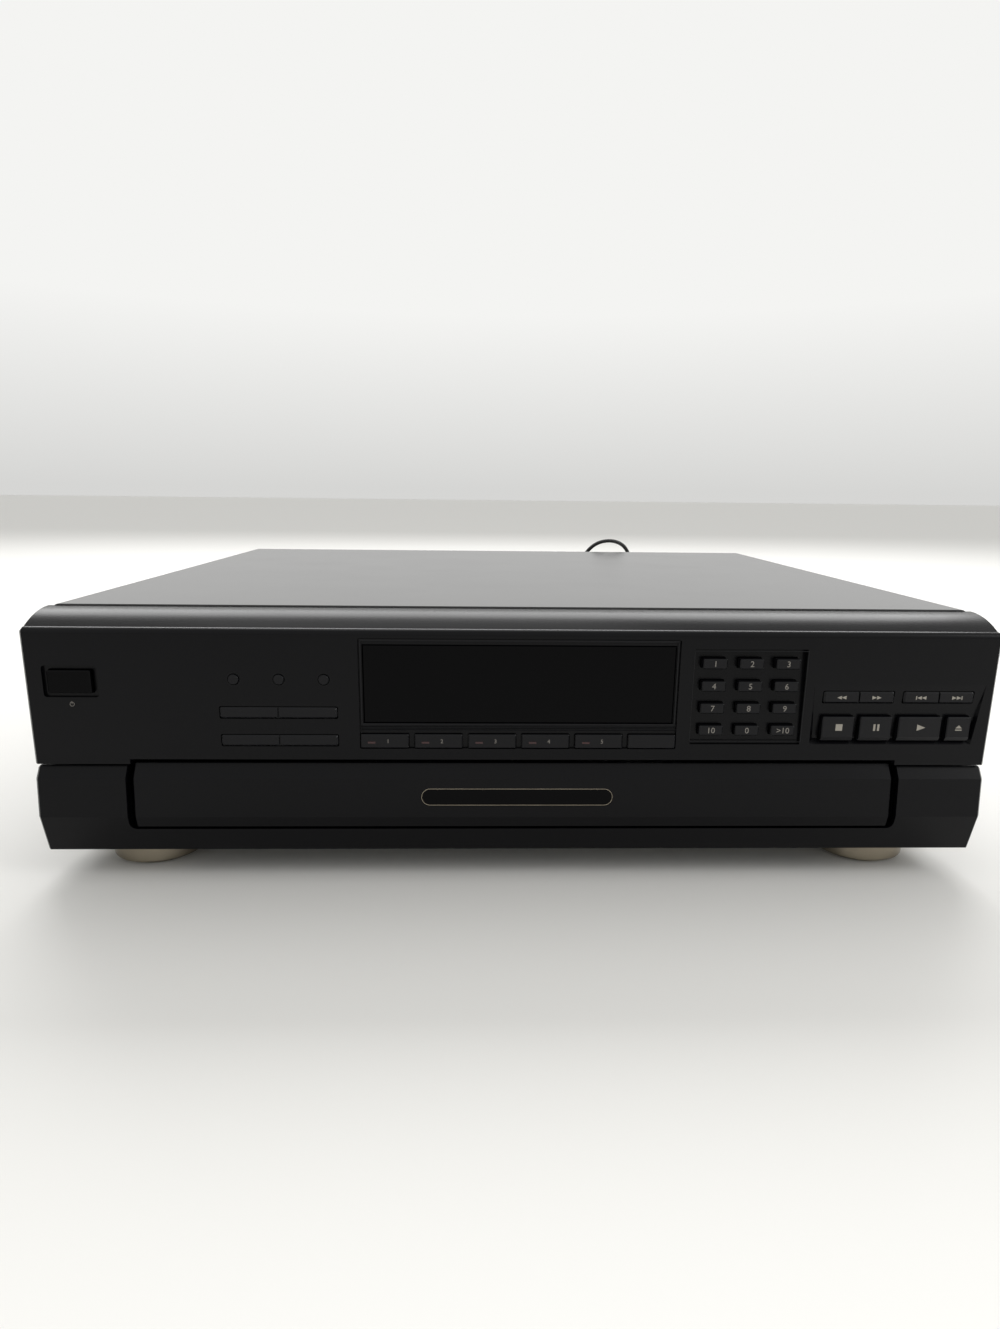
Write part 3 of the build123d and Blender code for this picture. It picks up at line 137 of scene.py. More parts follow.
finishes = {
    # satin stoved paint on steel sheet: a black that mirrors pale light at a low angle; its base colour is
    # lifted to dark grey as painted sheen, which brightens the cover towards the front where it mirrors
    # less
    "satinPaintedSteel": {
        "colour": "2a2a2c", "other": "313133", "roughness": (0.17, 0.22), "patch": 60, "grain": 0.9,
        "grainDepth": 0.01, "relief": 0.06, "sockets": {"Specular IOR Level": 0.95}},
    # moulded polystyrene, spark eroded fine grain: a soft deep black
    "mouldedPolystyrene": {
        "colour": "050507", "other": "07070a", "roughness": (0.23, 0.29), "patch": 40, "grain": 0.5,
        "grainDepth": 0.01, "relief": 0.1, "sockets": {"Specular IOR Level": 0.14}},
    # keys moulded in the same plastic, a shade lighter from handling
    "mouldedKeyPlastic": {
        "colour": "07070a", "other": "0b0b0f", "roughness": (0.26, 0.34), "patch": 12, "grain": 0.4,
        "grainDepth": 0.012, "relief": 0.1, "sockets": {"Specular IOR Level": 0.2}},
    # smoked cast acrylic: nearly black, with a clear reflection
    "smokedAcrylic": {
        "colour": "010102", "other": "020203", "roughness": (0.05, 0.09), "patch": 80, "grain": 3.0,
        "grainDepth": 0.004, "relief": 0.05, "sockets": {"Specular IOR Level": 0.07}},
    # zinc plated steel, passivated: grey with faint yellow and blue clouds
    "zincPlatedSteel": {
        "colour": "9a9c98", "other": "b4b3a6", "roughness": (0.32, 0.45), "patch": 14, "grain": 0.6,
        "grainDepth": 0.01, "sockets": {"Metallic": 1.0}},
    # champagne lacquer on moulded feet: warm and softly metallic
    "champagneLacquer": {
        "colour": "8f8676", "other": "a79e8c", "roughness": (0.2, 0.28), "patch": 10, "grain": 0.25,
        "grainDepth": 0.008, "sockets": {"Metallic": 0.9}},
    # moulded black drawer plastic with a coarser spark grain
    "grainedDrawerPlastic": {
        "colour": "17181b", "other": "1e1f23", "roughness": (0.42, 0.52), "patch": 25, "grain": 0.6,
        "grainDepth": 0.04, "sockets": {"Specular IOR Level": 0.4}},
    # clear diffuser over a small lamp: dark red while unlit
    "tintedDiffuser": {
        "colour": "2a0a0c", "other": "360d10", "roughness": (0.2, 0.3), "patch": 2, "grain": 0.3,
        "grainDepth": 0.01},
    # rubber pads pressed into the feet: dull black
    "pressedRubberPad": {
        "colour": "0d0d0d", "other": "151515", "roughness": (0.75, 0.9), "patch": 3, "grain": 0.3,
        "grainDepth": 0.03},
    # black oxide on small screws: dark with a worn glint
    "blackOxideSteel": {
        "colour": "1c1c1e", "other": "303032", "roughness": (0.28, 0.45), "patch": 1.5, "grain": 0.2,
        "grainDepth": 0.01, "sockets": {"Metallic": 1.0}},
    # heat shrunk sleeves of capacitors: glossy dark blue film
    "shrunkSleeve": {
        "colour": "131b33", "other": "1a2442", "roughness": (0.18, 0.28), "patch": 3, "grain": 0.4,
        "grainDepth": 0.006},
    # extruded aluminium, as drawn: pale grey with lines along it
    "extrudedAluminium": {
        "colour": "b3b5b7", "other": "c2c4c6", "roughness": (0.3, 0.42), "patch": 4, "grain": 0.25,
        "grainDepth": 0.01, "stretch": (1, 0.05, 1), "sockets": {"Metallic": 1.0}},
    # varnished tape over the windings: amber film
    "amberTape": {
        "colour": "9a6a1e", "other": "b07d2a", "roughness": (0.2, 0.32), "patch": 4, "grain": 0.5,
        "grainDepth": 0.02, "sockets": {"Coat Weight": 0.5}},
    # natural acetal: milky gears that wear to a low sheen
    "naturalAcetal": {
        "colour": "d9d4c4", "other": "e3dfd2", "roughness": (0.3, 0.4), "patch": 6, "grain": 0.3,
        "grainDepth": 0.008, "sockets": {"Subsurface Weight": 0.08}},
    # solder mask over woven glass laminate: green with the weave just showing
    "solderMaskLaminate": {
        "colour": "1d4a2e", "other": "27593a", "roughness": (0.22, 0.34), "patch": 3, "grain": 0.5,
        "grainDepth": 0.02, "sockets": {"Coat Weight": 0.3}},
    # drawn steel can, nickel plated
    "drawnMotorCan": {
        "colour": "a9abad", "other": "babcbd", "roughness": (0.22, 0.34), "patch": 5, "grain": 0.2,
        "grainDepth": 0.006, "stretch": (1, 1, 0.1), "sockets": {"Metallic": 1.0}},
    # ground rubber belt: matt and dusty
    "groundRubber": {
        "colour": "131313", "other": "1b1a1a", "roughness": (0.7, 0.85), "patch": 4, "grain": 0.2,
        "grainDepth": 0.02},
    # nickel plated brass of the phono sleeves
    "nickelPlatedBrass": {
        "colour": "c4c2bb", "other": "d0cfc9", "roughness": (0.14, 0.22), "patch": 4, "grain": 0.2,
        "grainDepth": 0.004, "sockets": {"Metallic": 1.0}},
    # extruded vinyl of the lead: black with a low sheen
    "extrudedVinyl": {
        "colour": "0f0f10", "other": "161617", "roughness": (0.38, 0.5), "patch": 8, "grain": 0.4,
        "grainDepth": 0.012, "sockets": {"Specular IOR Level": 0.45}},
    # varnished core laminations, stacked 0.5 mm sheets
    "varnishedLaminations": {
        "colour": "4a4643", "other": "5b5651", "roughness": (0.35, 0.5), "patch": 9, "grain": 0.5,
        "grainDepth": 0.05, "stretch": (0.05, 1, 0.05), "sockets": {"Metallic": 0.6}},
    # pad printed ink: pale warm grey, flat and a little worn
    "padPrintedInk": {
        "colour": "76726c", "other": "86817a", "roughness": (0.5, 0.65), "patch": 1.2, "grain": 0.15,
        "grainDepth": 0.004},
    # brighter ink of the transport symbols
    "paleSymbolInk": {
        "colour": "8a857b", "other": "99948a", "roughness": (0.5, 0.65), "patch": 1.2, "grain": 0.15,
        "grainDepth": 0.004},
}
surfaces = {name: makeSurface(name, look) for name, look in finishes.items()}
surfaceOfSlot = {
    "case_metal": "satinPaintedSteel",
    "fascia_plastic": "mouldedPolystyrene",
    "key_plastic": "mouldedKeyPlastic",
    "window_acrylic": "smokedAcrylic",
    "chassis_steel": "zincPlatedSteel",
    "foot_plastic": "champagneLacquer",
    "tray_plastic": "grainedDrawerPlastic",
    "gear_plastic": "naturalAcetal",
    "board_laminate": "solderMaskLaminate",
    "motor_steel": "drawnMotorCan",
    "belt_rubber": "groundRubber",
    "jack_metal": "nickelPlatedBrass",
    "cord_rubber": "extrudedVinyl",
    "core_steel": "varnishedLaminations",
}
surfaceOfNode = {"power_button": "smokedAcrylic"}
slotOfNode = {s["node"]: s["material_slot"] for s in frame["record"]["subparts"]}
for name, node in nodes.items():
    surface = surfaces[surfaceOfNode.get(name, surfaceOfSlot[slotOfNode[name]])]
    for index in range(max(1, len(node.data.materials))):
        if index < len(node.data.materials):
            node.data.materials[index] = surface
        else:
            node.data.materials.append(surface)
print("materials made:", len(surfaces))

# ------ helpers for new pieces


def finishPiece(name, mesh, surfaceName, body):
    mesh.materials.clear()
    mesh.materials.append(surfaces[surfaceName])
    piece = bpy.data.objects.new(name, mesh)
    bpy.context.collection.objects.link(piece)
    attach(piece, body)
    return piece


def meshFrom(bm, name, closed=True):
    if closed:
        bmesh.ops.recalc_face_normals(bm, faces=bm.faces)
    mesh = bpy.data.meshes.new(name)
    bm.to_mesh(mesh)
    bm.free()
    return mesh


def facePlace(x, z, proud=0.0, lean=0.0):
    # from a drawing plane in mm, x right and y up, to the front of the case
    spot = Vector((x, front["faceY"] - proud, front["splitZ"] + z)) * mm
    return Matrix.Translation(spot) @ Matrix.Rotation(radians(90) + lean, 4, "X") @ Matrix.Scale(mm, 4)


def addPlate(bm, outline, thickness):
    # a flat shape from its corners, given thickness upwards
    face = bm.faces.new([bm.verts.new((x, y, 0)) for x, y in outline])
    grown = bmesh.ops.extrude_face_region(bm, geom=[face])
    top = [v for v in grown["geom"] if isinstance(v, bmesh.types.BMVert)]
    bmesh.ops.translate(bm, verts=top, vec=(0, 0, thickness))


# ------ the lead

lead = {
    "length": 2.12,  # metres, free run and coil together
    "diameter": 3.4,
    "exit": (70, 194.2, 62),
    "coilCentre": (84, 226),
    "coilOuter": 27.0,
    "coilPitch": 4.0,
    "climbStep": 1.2,
    "exitStep": 6.5,
    "turnsInLayer": 3,
    "layers": 4,
    "plugHeight": 6.7,
    "stepsPerHalf": 6,
    "route": [
        (70, 205.2, 62), (70.5, 217.2, 69.2), (72, 223.2, 85), (74.5, 221.7, 103), (80.5, 217.2, 118.3),
        (89.3, 213.1, 128.9), (100.9, 211.5, 132.7), (112.5, 213.1, 130.9), (121.2, 217.2, 123.9),
        (124.9, 221.4, 112.5), (123, 221.7, 96), (121, 218.2, 78), (119.5, 213.2, 61), (118, 207.2, 44.5),
        (116.7, 203, 31.3), (111, 200.2, 20.3), (99.4, 199, 13.7), (87.4, 199, 13.7),
    ],
}


def coilPoints(lead):
    # points of turns wound in and out layer by layer from the top down
    (centreX, centreY), outer, pitch = lead["coilCentre"], lead["coilOuter"], lead["coilPitch"]
    top = lead["diameter"] / 2 + (lead["layers"] - 1) * pitch
    stops = [(outer, top)]
    radius = outer
    for layer in range(lead["layers"]):
        step = -pitch / 2 if layer % 2 == 0 else pitch / 2
        for _ in range(2 * lead["turnsInLayer"]):
            radius += step
            stops.append((radius, top - layer * pitch))
        if layer < lead["layers"] - 1:
            climb = lead["climbStep"] if step > 0 else -lead["climbStep"]
            stops.append((radius + climb, top - (layer + 1) * pitch))
    stops.append((radius + lead["exitStep"], lead["plugHeight"]))
    stepsPerHalf = lead["stepsPerHalf"]
    widen = 1 / cos(pi / stepsPerHalf / 2)  # the spline runs inside its points
    points = []
    for half in range(len(stops) - 1):
        for step in range(stepsPerHalf):
            share = step / stepsPerHalf
            radius, height = (a + (b - a) * share for a, b in zip(stops[half], stops[half + 1]))
            angle = -pi / 2 + pi * (half + share)
            if half or step:
                radius *= widen
            points.append((centreX - radius * cos(angle), centreY + radius * sin(angle), height))
    radius, height = stops[-1]
    points.append((centreX, centreY - radius, height))
    points.append((centreX - lead["diameter"], centreY - radius, height))
    return points


def makeLead(lead):
    points = [lead["exit"], *lead["route"], *coilPoints(lead)]
    curve = bpy.data.curves.new("mainsLead", "CURVE")
    curve.dimensions = "3D"
    curve.bevel_depth = lead["diameter"] / 2 * mm
    curve.bevel_resolution = 5
    curve.resolution_u = 6
    curve.use_fill_caps = True
    spline = curve.splines.new("NURBS")
    spline.points.add(len(points) - 1)
    for spot, place in zip(spline.points, points):
        spot.co = (*[c * mm for c in place], 1)
    spline.order_u = 3
    spline.use_endpoint_u = True
    curve.materials.append(surfaces["extrudedVinyl"])
    piece = bpy.data.objects.new("mainsLead", curve)
    bpy.context.collection.objects.link(piece)
    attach(piece, "case")
    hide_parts("mains_cord", "cord_coil")


makeLead(lead)
print("lead laid")

# ------ printed figures and symbols

figures = {"size": 3.8, "discSize": 2.6, "thickness": 0.03, "keyProud": 1.6, "discKeyProud": 0.3}


def makeFigure(name, text, size, place, body):
    curve = bpy.data.curves.new(name, "FONT")
    curve.body = text
    curve.size = size
    curve.align_x = "CENTER"
    curve.align_y = "CENTER"
    curve.extrude = figures["thickness"] / 2
    curve.resolution_u = 3
    holder = bpy.data.objects.new(name, curve)
    bpy.context.collection.objects.link(holder)
    bpy.context.view_layer.update()
    mesh = bpy.data.meshes.new_from_object(holder)
    bpy.data.objects.remove(holder)
    mesh.transform(place)
    finishPiece(name, mesh, "padPrintedInk", body)


keypadNames = [str(n) for n in range(1, 11)] + ["0", "over_10"]
for index, name in enumerate(keypadNames):
    x = front["keypadX"] + (index % 3 - 1) * front["keypadPitchX"]
    z = front["keypadZ"] + (1.5 - index // 3) * front["keypadPitchZ"]
    text = name.replace("over_", ">")
    place = facePlace(x, z, figures["keyProud"])
    makeFigure(f"figure_{name}", text, figures["size"], place, f"number_button_{name}")

discKeys = {"pitch": 24.0, "z": 10.95, "width": 21.4, "count": 5, "figureShift": 1.5}
for index in range(discKeys["count"]):
    x = front["windowX"] + (index - discKeys["count"] / 2) * discKeys["pitch"]
    place = facePlace(x + discKeys["figureShift"], discKeys["z"], figures["discKeyProud"])
    makeFigure(
        f"discFigure_{index + 1}", str(index + 1), figures["discSize"], place, f"disc_button_{index + 1}")

symbols = {
    "thickness": 0.04, "largeZ": 18.2, "largeProud": 0.9, "slimZ": 32.0, "slimProud": 0.3,
    "slimArrow": (2.1, 1.7), "slimBar": 0.45, "barGap": 0.3,
    "slimOffset": 8.0,
}
arrow = [(-0.5, -0.5), (0.5, 0.0), (-0.5, 0.5)]
square = [(-0.5, -0.5), (0.5, -0.5), (0.5, 0.5), (-0.5, 0.5)]


def makeSymbol(name, shapes, place, body):
    # each shape is an outline, its size and its place on the key
    bm = bmesh.new()
    for outline, (width, height), (x, y) in shapes:
        addPlate(bm, [(x + px * width, y + py * height) for px, py in outline], symbols["thickness"])
    bmesh.ops.transform(bm, matrix=place, verts=bm.verts)
    finishPiece(name, meshFrom(bm, name), "paleSymbolInk", body)


upArrow = [(-0.5, -0.5), (0.5, -0.5), (0.0, 0.5)]
largeSymbols = {
    "stop": (144.9, [(square, (3.1, 3.1), (0, 0))]),
    "pause": (162.0, [(square, (0.95, 3.1), (-0.9, 0)), (square, (0.95, 3.1), (0.9, 0))]),
    "play": (182.6, [(arrow, (3.9, 3.0), (0, 0))]),
    "open_close": (199.9, [(upArrow, (3.0, 1.5), (0, 0.45)), (square, (3.0, 0.5), (0, -1.1))]),
}
for name, (x, shapes) in largeSymbols.items():
    place = facePlace(x, symbols["largeZ"], symbols["largeProud"])
    makeSymbol(f"symbol_{name}", shapes, place, f"{name}_button")

backArrow = [(0.5, -0.5), (0.5, 0.5), (-0.5, 0.0)]
slimSymbols = {"search": (153.0, False), "skip": (189.4, True)}  # middle of the rocker, and whether barred
for name, (x, barred) in slimSymbols.items():
    width, height = symbols["slimArrow"]
    shapes = []
    for side, outline in ((-1, backArrow), (1, arrow)):
        middle = side * symbols["slimOffset"]
        shapes += [(outline, (width, height), (middle + step * width / 2, 0)) for step in (-1, 1)]
        if barred:
            barX = middle + side * (width + symbols["barGap"])
            shapes.append((square, (symbols["slimBar"], height), (barX, 0)))
    place = facePlace(x, symbols["slimZ"], symbols["slimProud"])
    makeSymbol(f"symbol_{name}", shapes, place, f"{name}_rocker")
print("figures and symbols made")

# ------ trim on the front


def addBlock(bm, low, high):
    made = bmesh.ops.create_cube(bm, size=1)
    size = [b - a for a, b in zip(low, high)]
    middle = [(a + b) / 2 for a, b in zip(low, high)]
    bmesh.ops.scale(bm, vec=size, verts=made["verts"])
    bmesh.ops.translate(bm, vec=middle, verts=made["verts"])


def addDrum(bm, centre, radius, low, high, sides=40):
    made = bmesh.ops.create_cone(
        bm, cap_ends=True, segments=sides, radius1=radius, radius2=radius, depth=high - low)
    bmesh.ops.translate(bm, vec=(*centre, (low + high) / 2), verts=made["verts"])


def bevelAll(bm, width, segments=2):
    sharp = [e for e in bm.edges if len(e.link_faces) == 2 and e.calc_face_angle(0) > radians(30)]
    bmesh.ops.bevel(
        bm, geom=sharp, offset=width, offset_type="OFFSET", affect="EDGES", segments=segments, profile=0.5,
        material=-1)


def placePiece(bm, name, place, surfaceName, body):
    bmesh.ops.transform(bm, matrix=place, verts=bm.verts)
    return finishPiece(name, meshFrom(bm, name), surfaceName, body)


def addFrame(bm, low, high, width, thickness):
    # a flat rectangular border between two corners
    (left, bottom), (right, top) = low, high
    addBlock(bm, (left, bottom, 0), (right, bottom + width, thickness))
    addBlock(bm, (left, top - width, 0), (right, top, thickness))
    addBlock(bm, (left, bottom + width, 0), (left + width, top - width, thickness))
    addBlock(bm, (right - width, bottom + width, 0), (right, top - width, thickness))


windowTrim = {
    "halfWidth": 70.5, "low": 18.2, "high": 57.3, "border": 0.9, "thickness": 0.55, "recess": 1.2,
    "bevel": 0.18, "ribLow": 15.6, "ribPitch": 0.72, "ribs": 4, "ribHeight": 0.36, "ribThickness": 0.45,
}


def makeWindowTrim(trim):
    bm = bmesh.new()
    addFrame(
        bm, (-trim["halfWidth"], trim["low"]), (trim["halfWidth"], trim["high"]), trim["border"],
        trim["thickness"])
    for index in range(trim["ribs"]):
        low = trim["ribLow"] + index * trim["ribPitch"]
        corner = (trim["halfWidth"], low + trim["ribHeight"], trim["ribThickness"])
        addBlock(bm, (-trim["halfWidth"], low, 0), corner)
    bevelAll(bm, trim["bevel"])
    place = facePlace(front["windowX"], 0, -trim["recess"])
    placePiece(bm, "windowTrim", place, "mouldedKeyPlastic", "case")


keypadRim = {"halfWidth": 25.6, "low": 10.9, "high": 53.1, "line": 0.35, "thickness": 0.25, "bevel": 0.08}


def makeKeypadRim(rim):
    bm = bmesh.new()
    addFrame(
        bm, (-rim["halfWidth"], rim["low"]), (rim["halfWidth"], rim["high"]), rim["line"], rim["thickness"])
    bevelAll(bm, rim["bevel"])
    place = facePlace(front["keypadX"], 0, -rim["thickness"] / 2)
    placePiece(bm, "keypadRim", place, "mouldedKeyPlastic", "case")


roundRings = {
    "count": 3, "x": -105.3, "pitch": 19.6, "z": 39.2, "inner": 2.72, "outer": 2.9, "thickness": 0.04,
}


def makeRing(inner, outer, thickness, name, place, surfaceName, body, turns=48):
    bm = bmesh.new()
    corners = [(inner, 0, 0), (outer, 0, 0), (outer, 0, thickness), (inner, 0, thickness)]
    profile = [bm.verts.new(corner) for corner in corners]
    edges = [bm.edges.new((profile[i], profile[(i + 1) % 4])) for i in range(4)]
    bmesh.ops.spin(
        bm, geom=profile + edges, cent=(0, 0, 0), axis=(0, 0, 1), angle=2 * pi, steps=turns, use_merge=True)
    placePiece(bm, name, place, surfaceName, body)


badge = {
    "length": 87.2, "height": 8.0, "z": -15.0, "floor": 0.48, "gap": 0.1, "thickness": 0.2, "rim": 0.24,
    "rimHeight": 0.34, "bevel": 0.06,
    "brow": (-1.3, -6.4),  # depth and height of the upper and lower edge of the drawer's leaning facet
    "nose": (-2.85, -24.3),
}


def pill(reach, radius, steps=16):
    # the outline of a flat bar with round ends, reach from its middle to an end's centre
    spots = []
    for side, start in ((1, -pi / 2), (-1, pi / 2)):
        for index in range(steps + 1):
            angle = start + pi * index / steps
            spots.append((side * reach + radius * cos(angle), radius * sin(angle)))
    return spots


def makeBadge(badge):
    # a blank black plate with a fine raised rim, let into the drawer's leaning facet. The moulded rim is
    # given pale champagne lacquer as a painted highlight, standing in for the light it catches
    brow, nose = badge["brow"], badge["nose"]
    lean = (nose[0] - brow[0]) / (nose[1] - brow[1])
    depth = brow[0] + lean * (badge["z"] - brow[1])
    place = facePlace(0, badge["z"], -depth - badge["floor"], -atan2(lean, 1))
    radius = badge["height"] / 2 - badge["gap"]
    reach = (badge["length"] - badge["height"]) / 2
    bm = bmesh.new()
    addPlate(bm, pill(reach, radius), badge["thickness"])
    placePiece(bm, "badgePlate", place, "smokedAcrylic", "tray")
    bm = bmesh.new()
    outer = [bm.verts.new((*spot, 0)) for spot in pill(reach, radius)]
    inner = [bm.verts.new((*spot, 0)) for spot in pill(reach, radius - badge["rim"])]
    faces = [bm.faces.new((outer[i - 1], outer[i], inner[i], inner[i - 1])) for i in range(len(outer))]
    grown = bmesh.ops.extrude_face_region(bm, geom=faces)
    top = [v for v in grown["geom"] if isinstance(v, bmesh.types.BMVert)]
    bmesh.ops.translate(bm, verts=top, vec=(0, 0, badge["rimHeight"]))
    bevelAll(bm, badge["bevel"])
    # pale lacquer on the rim: a painted highlight for the light caught by the black moulded rim
    placePiece(bm, "badgeRimPaintedHighlight", place, "champagneLacquer", "tray")


lamps = {"left": 3.2, "width": 3.4, "height": 0.9, "z": 10.4, "thickness": 0.12, "bevel": 0.05}


def makeLamps(lamps):
    for index in range(discKeys["count"]):
        x = front["windowX"] + (index - discKeys["count"] / 2) * discKeys["pitch"] - discKeys["width"] / 2
        bm = bmesh.new()
        low = (x + lamps["left"], lamps["z"] - lamps["height"] / 2, 0)
        high = (low[0] + lamps["width"], low[1] + lamps["height"], lamps["thickness"])
        addBlock(bm, low, high)
        bevelAll(bm, lamps["bevel"])
        place = facePlace(0, 0, figures["discKeyProud"])
        placePiece(
            bm, f"discLamp_{index + 1}", place, "tintedDiffuser", f"disc_button_{index + 1}")


makeWindowTrim(windowTrim)
makeKeypadRim(keypadRim)
for index in range(roundRings["count"]):
    place = facePlace(roundRings["x"] + (index - 1) * roundRings["pitch"], roundRings["z"])
    makeRing(
        roundRings["inner"], roundRings["outer"], roundRings["thickness"], f"roundRing_{index + 1}", place,
        "mouldedKeyPlastic", "case")
makeBadge(badge)
makeLamps(lamps)

standby = {
    "x": -195.5, "z": 27.7, "radius": 1.0, "line": 0.16, "thickness": 0.04,
    "barHalfWidth": 0.09, "barLow": 0.1, "barHigh": 1.35, "barThickness": 0.05,
}
place = facePlace(standby["x"], standby["z"])
makeRing(
    standby["radius"] - standby["line"], standby["radius"], standby["thickness"], "standbyRing", place,
    "padPrintedInk", "case")
bm = bmesh.new()
addBlock(
    bm, (-standby["barHalfWidth"], standby["barLow"], 0),
    (standby["barHalfWidth"], standby["barHigh"], standby["barThickness"]))
placePiece(bm, "standbyBar", place, "padPrintedInk", "case")
print("front trim made")

# ------ feet, screws and what shows at the back

footPads = {
    "spots": [(side * 177, y) for y in (-143.2, 130) for side in (-1, 1)],
    "radius": 18.62, "bottom": 0.02, "top": 1.44, "bevel": 0.3, "sides": 64,
}
bm = bmesh.new()
for spot in footPads["spots"]:
    addDrum(bm, spot, footPads["radius"], footPads["bottom"], footPads["top"], footPads["sides"])
bevelAll(bm, footPads["bevel"])
placePiece(bm, "footPads", Matrix.Scale(mm, 4), "pressedRubberPad", "case")

screws = {
    "radius": 3.1, "height": 1.3, "taper": 0.72, "bevel": 0.25, "sides": 28,
    "crossWidth": 0.9, "crossReach": 0.5, "crossBottom": 0.01, "crossHeight": 0.05,
    "side": [(-118, 46), (118, 46)], "sideFace": 212.3,
    "back": [(x, z) for x in (-196, -66, 66, 196) for z in (24, 114)] + [(0, 24)], "backFace": 172.2,
}


def addScrew(bm, place):
    # a pan head marked with a cross, in mm, standing on the drawing plane
    part = bmesh.new()
    made = bmesh.ops.create_cone(
        part, cap_ends=True, segments=screws["sides"], radius1=screws["radius"],
        radius2=screws["radius"] * screws["taper"], depth=screws["height"])
    bmesh.ops.translate(part, vec=(0, 0, screws["height"] / 2), verts=made["verts"])
    bevelAll(part, screws["bevel"], 3)
    arm, width = screws["radius"] * screws["crossReach"], screws["crossWidth"] / 2
    bottom = screws["height"] + screws["crossBottom"]
    cross = [
        (-width, -arm), (width, -arm), (width, -width), (arm, -width), (arm, width), (width, width),
        (width, arm), (-width, arm), (-width, width), (-arm, width), (-arm, -width), (-width, -width)]
    face = part.faces.new([part.verts.new((x, y, bottom)) for x, y in cross])
    grown = bmesh.ops.extrude_face_region(part, geom=[face])
    top = [v for v in grown["geom"] if isinstance(v, bmesh.types.BMVert)]
    bmesh.ops.translate(part, vec=(0, 0, screws["crossHeight"]), verts=top)
    bmesh.ops.transform(part, matrix=place, verts=part.verts)
    mesh = bpy.data.meshes.new("screw")
    part.to_mesh(mesh)
    part.free()
    bm.from_mesh(mesh)
    bpy.data.meshes.remove(mesh)


bm = bmesh.new()
for x, z in screws["back"]:
    addScrew(bm, Matrix.Translation((x, screws["backFace"], z)) @ Matrix.Rotation(-pi / 2, 4, "X"))
for side in (-1, 1):
    for y, z in screws["side"]:
        spot = Matrix.Translation((side * screws["sideFace"], y, z))
        addScrew(bm, spot @ Matrix.Rotation(side * pi / 2, 4, "Y"))
placePiece(bm, "caseScrews", Matrix.Scale(mm, 4), "blackOxideSteel", "case")
print("feet and screws made")

# ------ figures on the disc tray, and its middle screw

trayFigures = {
    "count": 5, "size": 10, "reach": 150.0, "top": 50.0, "centreY": -5.0, "firstAngle": 54, "capTop": 51.9,
}
for index in range(trayFigures["count"]):
    angle = radians(trayFigures["firstAngle"] + 360 / trayFigures["count"] * index)
    spot = Vector((
        trayFigures["reach"] * cos(angle), trayFigures["centreY"] + trayFigures["reach"] * sin(angle),
        trayFigures["top"])) * mm
    place = Matrix.Translation(spot) @ Matrix.Rotation(angle - pi / 2, 4, "Z") @ Matrix.Scale(mm, 4)
    makeFigure(f"trayFigure_{index + 1}", str(index + 1), trayFigures["size"], place, "carousel")
bm = bmesh.new()
addScrew(bm, Matrix.Translation((0, trayFigures["centreY"], trayFigures["capTop"])))
placePiece(bm, "capScrew", Matrix.Scale(mm, 4), "blackOxideSteel", "carousel")

# ------ parts on the boards, over the plain blocks of the frame

boardParts = {
    "top": 73.6,  # upper face of the main board
    "lift": 0.3,
    "capacitors": [(-32 + (i - 0.5) * 13, 86 + (j - 1) * 15) for i in range(2) for j in range(3)],
    "capacitorRadius": 5.12,
    "capacitorHeight": 16.1,
    "chips": [(-60 + (i - 0.5) * 18, 96 + (j - 0.5) * 16, 8, 12) for i in range(2) for j in range(2)]
    + [(-100, 106, 20, 20)],
    "chipMargin": 0.1,  # how far each chip's cover stands past the plain block
    "chipHeight": 2.5,
    "sinkLow": (-156.1, 76, 0.2),
    "sinkHigh": (-149.9, 126, 26.1),
    "fins": 9,
    "finFirst": 77,
    "finPitch": 6,
    "finHalf": 0.6,
    "finX": (-160.5, -156.0),
    "finZ": (1, 26),
}
innerBlocks = {  # two corners, bevel, surface and slot of each
    "windingTape": ((127.4, 74.4, 69), (164.6, 117.6, 100.2), 1.2, "amberTape", "core_steel"),
    "displayTube": ((-58.8, -169.4, 80.4), (59.5, -162.3, 106.6), 0.8, "smokedAcrylic", "window_acrylic"),
}


def makeBoardParts(parts):
    top, lift = parts["top"], parts["lift"]
    bm = bmesh.new()
    for spot in parts["capacitors"]:
        addDrum(bm, spot, parts["capacitorRadius"], top + lift, top + parts["capacitorHeight"])
    bevelAll(bm, 0.4)
    placePiece(bm, "capacitors", Matrix.Scale(mm, 4), "shrunkSleeve", "case")
    bm = bmesh.new()
    margin = parts["chipMargin"]
    for x, y, width, length in parts["chips"]:
        addBlock(
            bm, (x - width / 2 - margin, y - length / 2 - margin, top + lift),
            (x + width / 2 + margin, y + length / 2 + margin, top + parts["chipHeight"]))
    bevelAll(bm, 0.15)
    placePiece(bm, "chips", Matrix.Scale(mm, 4), "mouldedKeyPlastic", "case")
    bm = bmesh.new()
    (lowX, lowY, lowZ), (highX, highY, highZ) = parts["sinkLow"], parts["sinkHigh"]
    addBlock(bm, (lowX, lowY, top + lowZ), (highX, highY, top + highZ))
    for index in range(parts["fins"]):
        y = parts["finFirst"] + index * parts["finPitch"]
        low = (parts["finX"][0], y - parts["finHalf"], top + parts["finZ"][0])
        high = (parts["finX"][1], y + parts["finHalf"], top + parts["finZ"][1])
        addBlock(bm, low, high)
    placePiece(bm, "heatSink", Matrix.Scale(mm, 4), "extrudedAluminium", "case")


def makeInnerBlocks(blocks):
    for name, (low, high, bevel, surfaceName, slotName) in blocks.items():
        bm = bmesh.new()
        addBlock(bm, low, high)
        bevelAll(bm, bevel, 3)
        placePiece(bm, name, Matrix.Scale(mm, 4), surfaceName, "case")


makeBoardParts(boardParts)
makeInnerBlocks(innerBlocks)
print("inner parts made")

# ------ floor and light

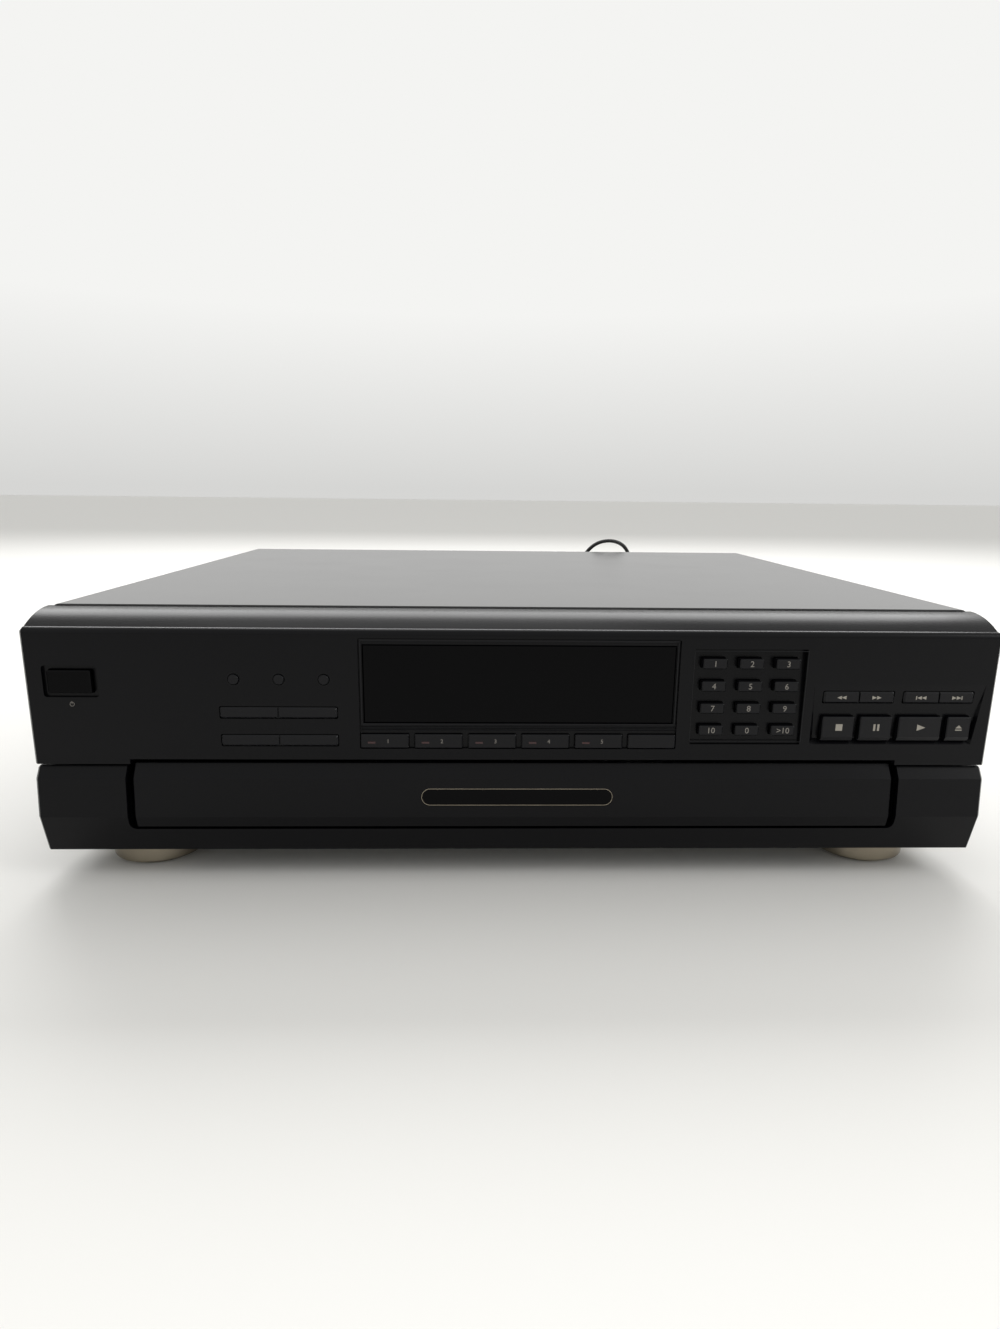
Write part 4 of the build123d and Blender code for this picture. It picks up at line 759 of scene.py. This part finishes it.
studio = {
    "floorSize": 12.0,
    "floorColour": "e6e5e2",
    "floorRoughness": 0.6,
    "worldColour": "f4f4f2",
    "worldLevel": 0.75,
    "horizonLevel": 0.74,  # the low part of the wall, and how high it reaches
    "horizonReach": 0.2,
    "lamps": {
        # a window to the right of the camera
        "windowSide": {"place": (1.5, -0.7, 0.9), "aim": (0.1, 0, 0.06), "size": (0.9, 0.9), "power": 11},
        "topSoft": {"place": (-0.1, 0.3, 1.8), "aim": (0, 0, 0.1), "size": (1.2, 1.2), "power": 5},
        # a long bright ceiling behind, which draws the light band on the brow
        "ceilingBack": {"place": (0, 1.5, 1.5), "aim": (0, -0.17, 0.1), "size": (3.2, 0.8), "power": 38},
    },
}


def makeFloor(setup):
    bm = bmesh.new()
    bmesh.ops.create_grid(bm, x_segments=1, y_segments=1, size=setup["floorSize"])
    floor = bpy.data.objects.new("floor", meshFrom(bm, "floor", closed=False))
    bpy.context.collection.objects.link(floor)
    material = bpy.data.materials.new("mattLaminateShelf")
    material.use_nodes = True
    shader = material.node_tree.nodes["Principled BSDF"]
    shader.inputs["Base Color"].default_value = linearColour(setup["floorColour"])
    shader.inputs["Roughness"].default_value = setup["floorRoughness"]
    floor.data.materials.append(material)


def makeLight(setup):
    world = bpy.data.worlds.new("studio")
    bpy.context.scene.world = world
    world.use_nodes = True
    tree = world.node_tree
    background = tree.nodes["Background"]
    background.inputs["Color"].default_value = linearColour(setup["worldColour"])
    rays = addNode(tree, "ShaderNodeLightPath").outputs
    seen = addNode(
        tree, "ShaderNodeMath", links={0: rays["Is Camera Ray"], 1: rays["Is Glossy Ray"]}, operation="ADD")
    seen = addNode(
        tree, "ShaderNodeMath", links={0: seen.outputs[0], 1: rays["Is Transmission Ray"]}, operation="ADD",
        use_clamp=True)
    level = addNode(
        tree, "ShaderNodeMapRange", {"To Min": setup["worldLevel"], "To Max": 1.0},
        {"Value": seen.outputs[0]})
    way = addNode(tree, "ShaderNodeTexCoord").outputs["Generated"]
    height = addNode(tree, "ShaderNodeSeparateXYZ", links={"Vector": way}).outputs["Z"]
    rise = addNode(
        tree, "ShaderNodeMapRange", {"From Max": setup["horizonReach"], "To Min": setup["horizonLevel"]},
        {"Value": height})
    strength = addNode(
        tree, "ShaderNodeMath", links={0: level.outputs["Result"], 1: rise.outputs["Result"]},
        operation="MULTIPLY")
    tree.links.new(strength.outputs[0], background.inputs["Strength"])
    for name, lamp in setup["lamps"].items():
        data = bpy.data.lights.new(name, "AREA")
        data.energy = lamp["power"]
        data.shape = "RECTANGLE"
        data.size, data.size_y = lamp["size"]
        light = bpy.data.objects.new(name, data)
        light.location = lamp["place"]
        way = Vector(lamp["aim"]) - Vector(lamp["place"])
        light.rotation_euler = way.to_track_quat("-Z", "Y").to_euler()
        bpy.context.collection.objects.link(light)


makeFloor(studio)
makeLight(studio)
bpy.context.scene.view_settings.view_transform = "Standard"
print("studio lit")
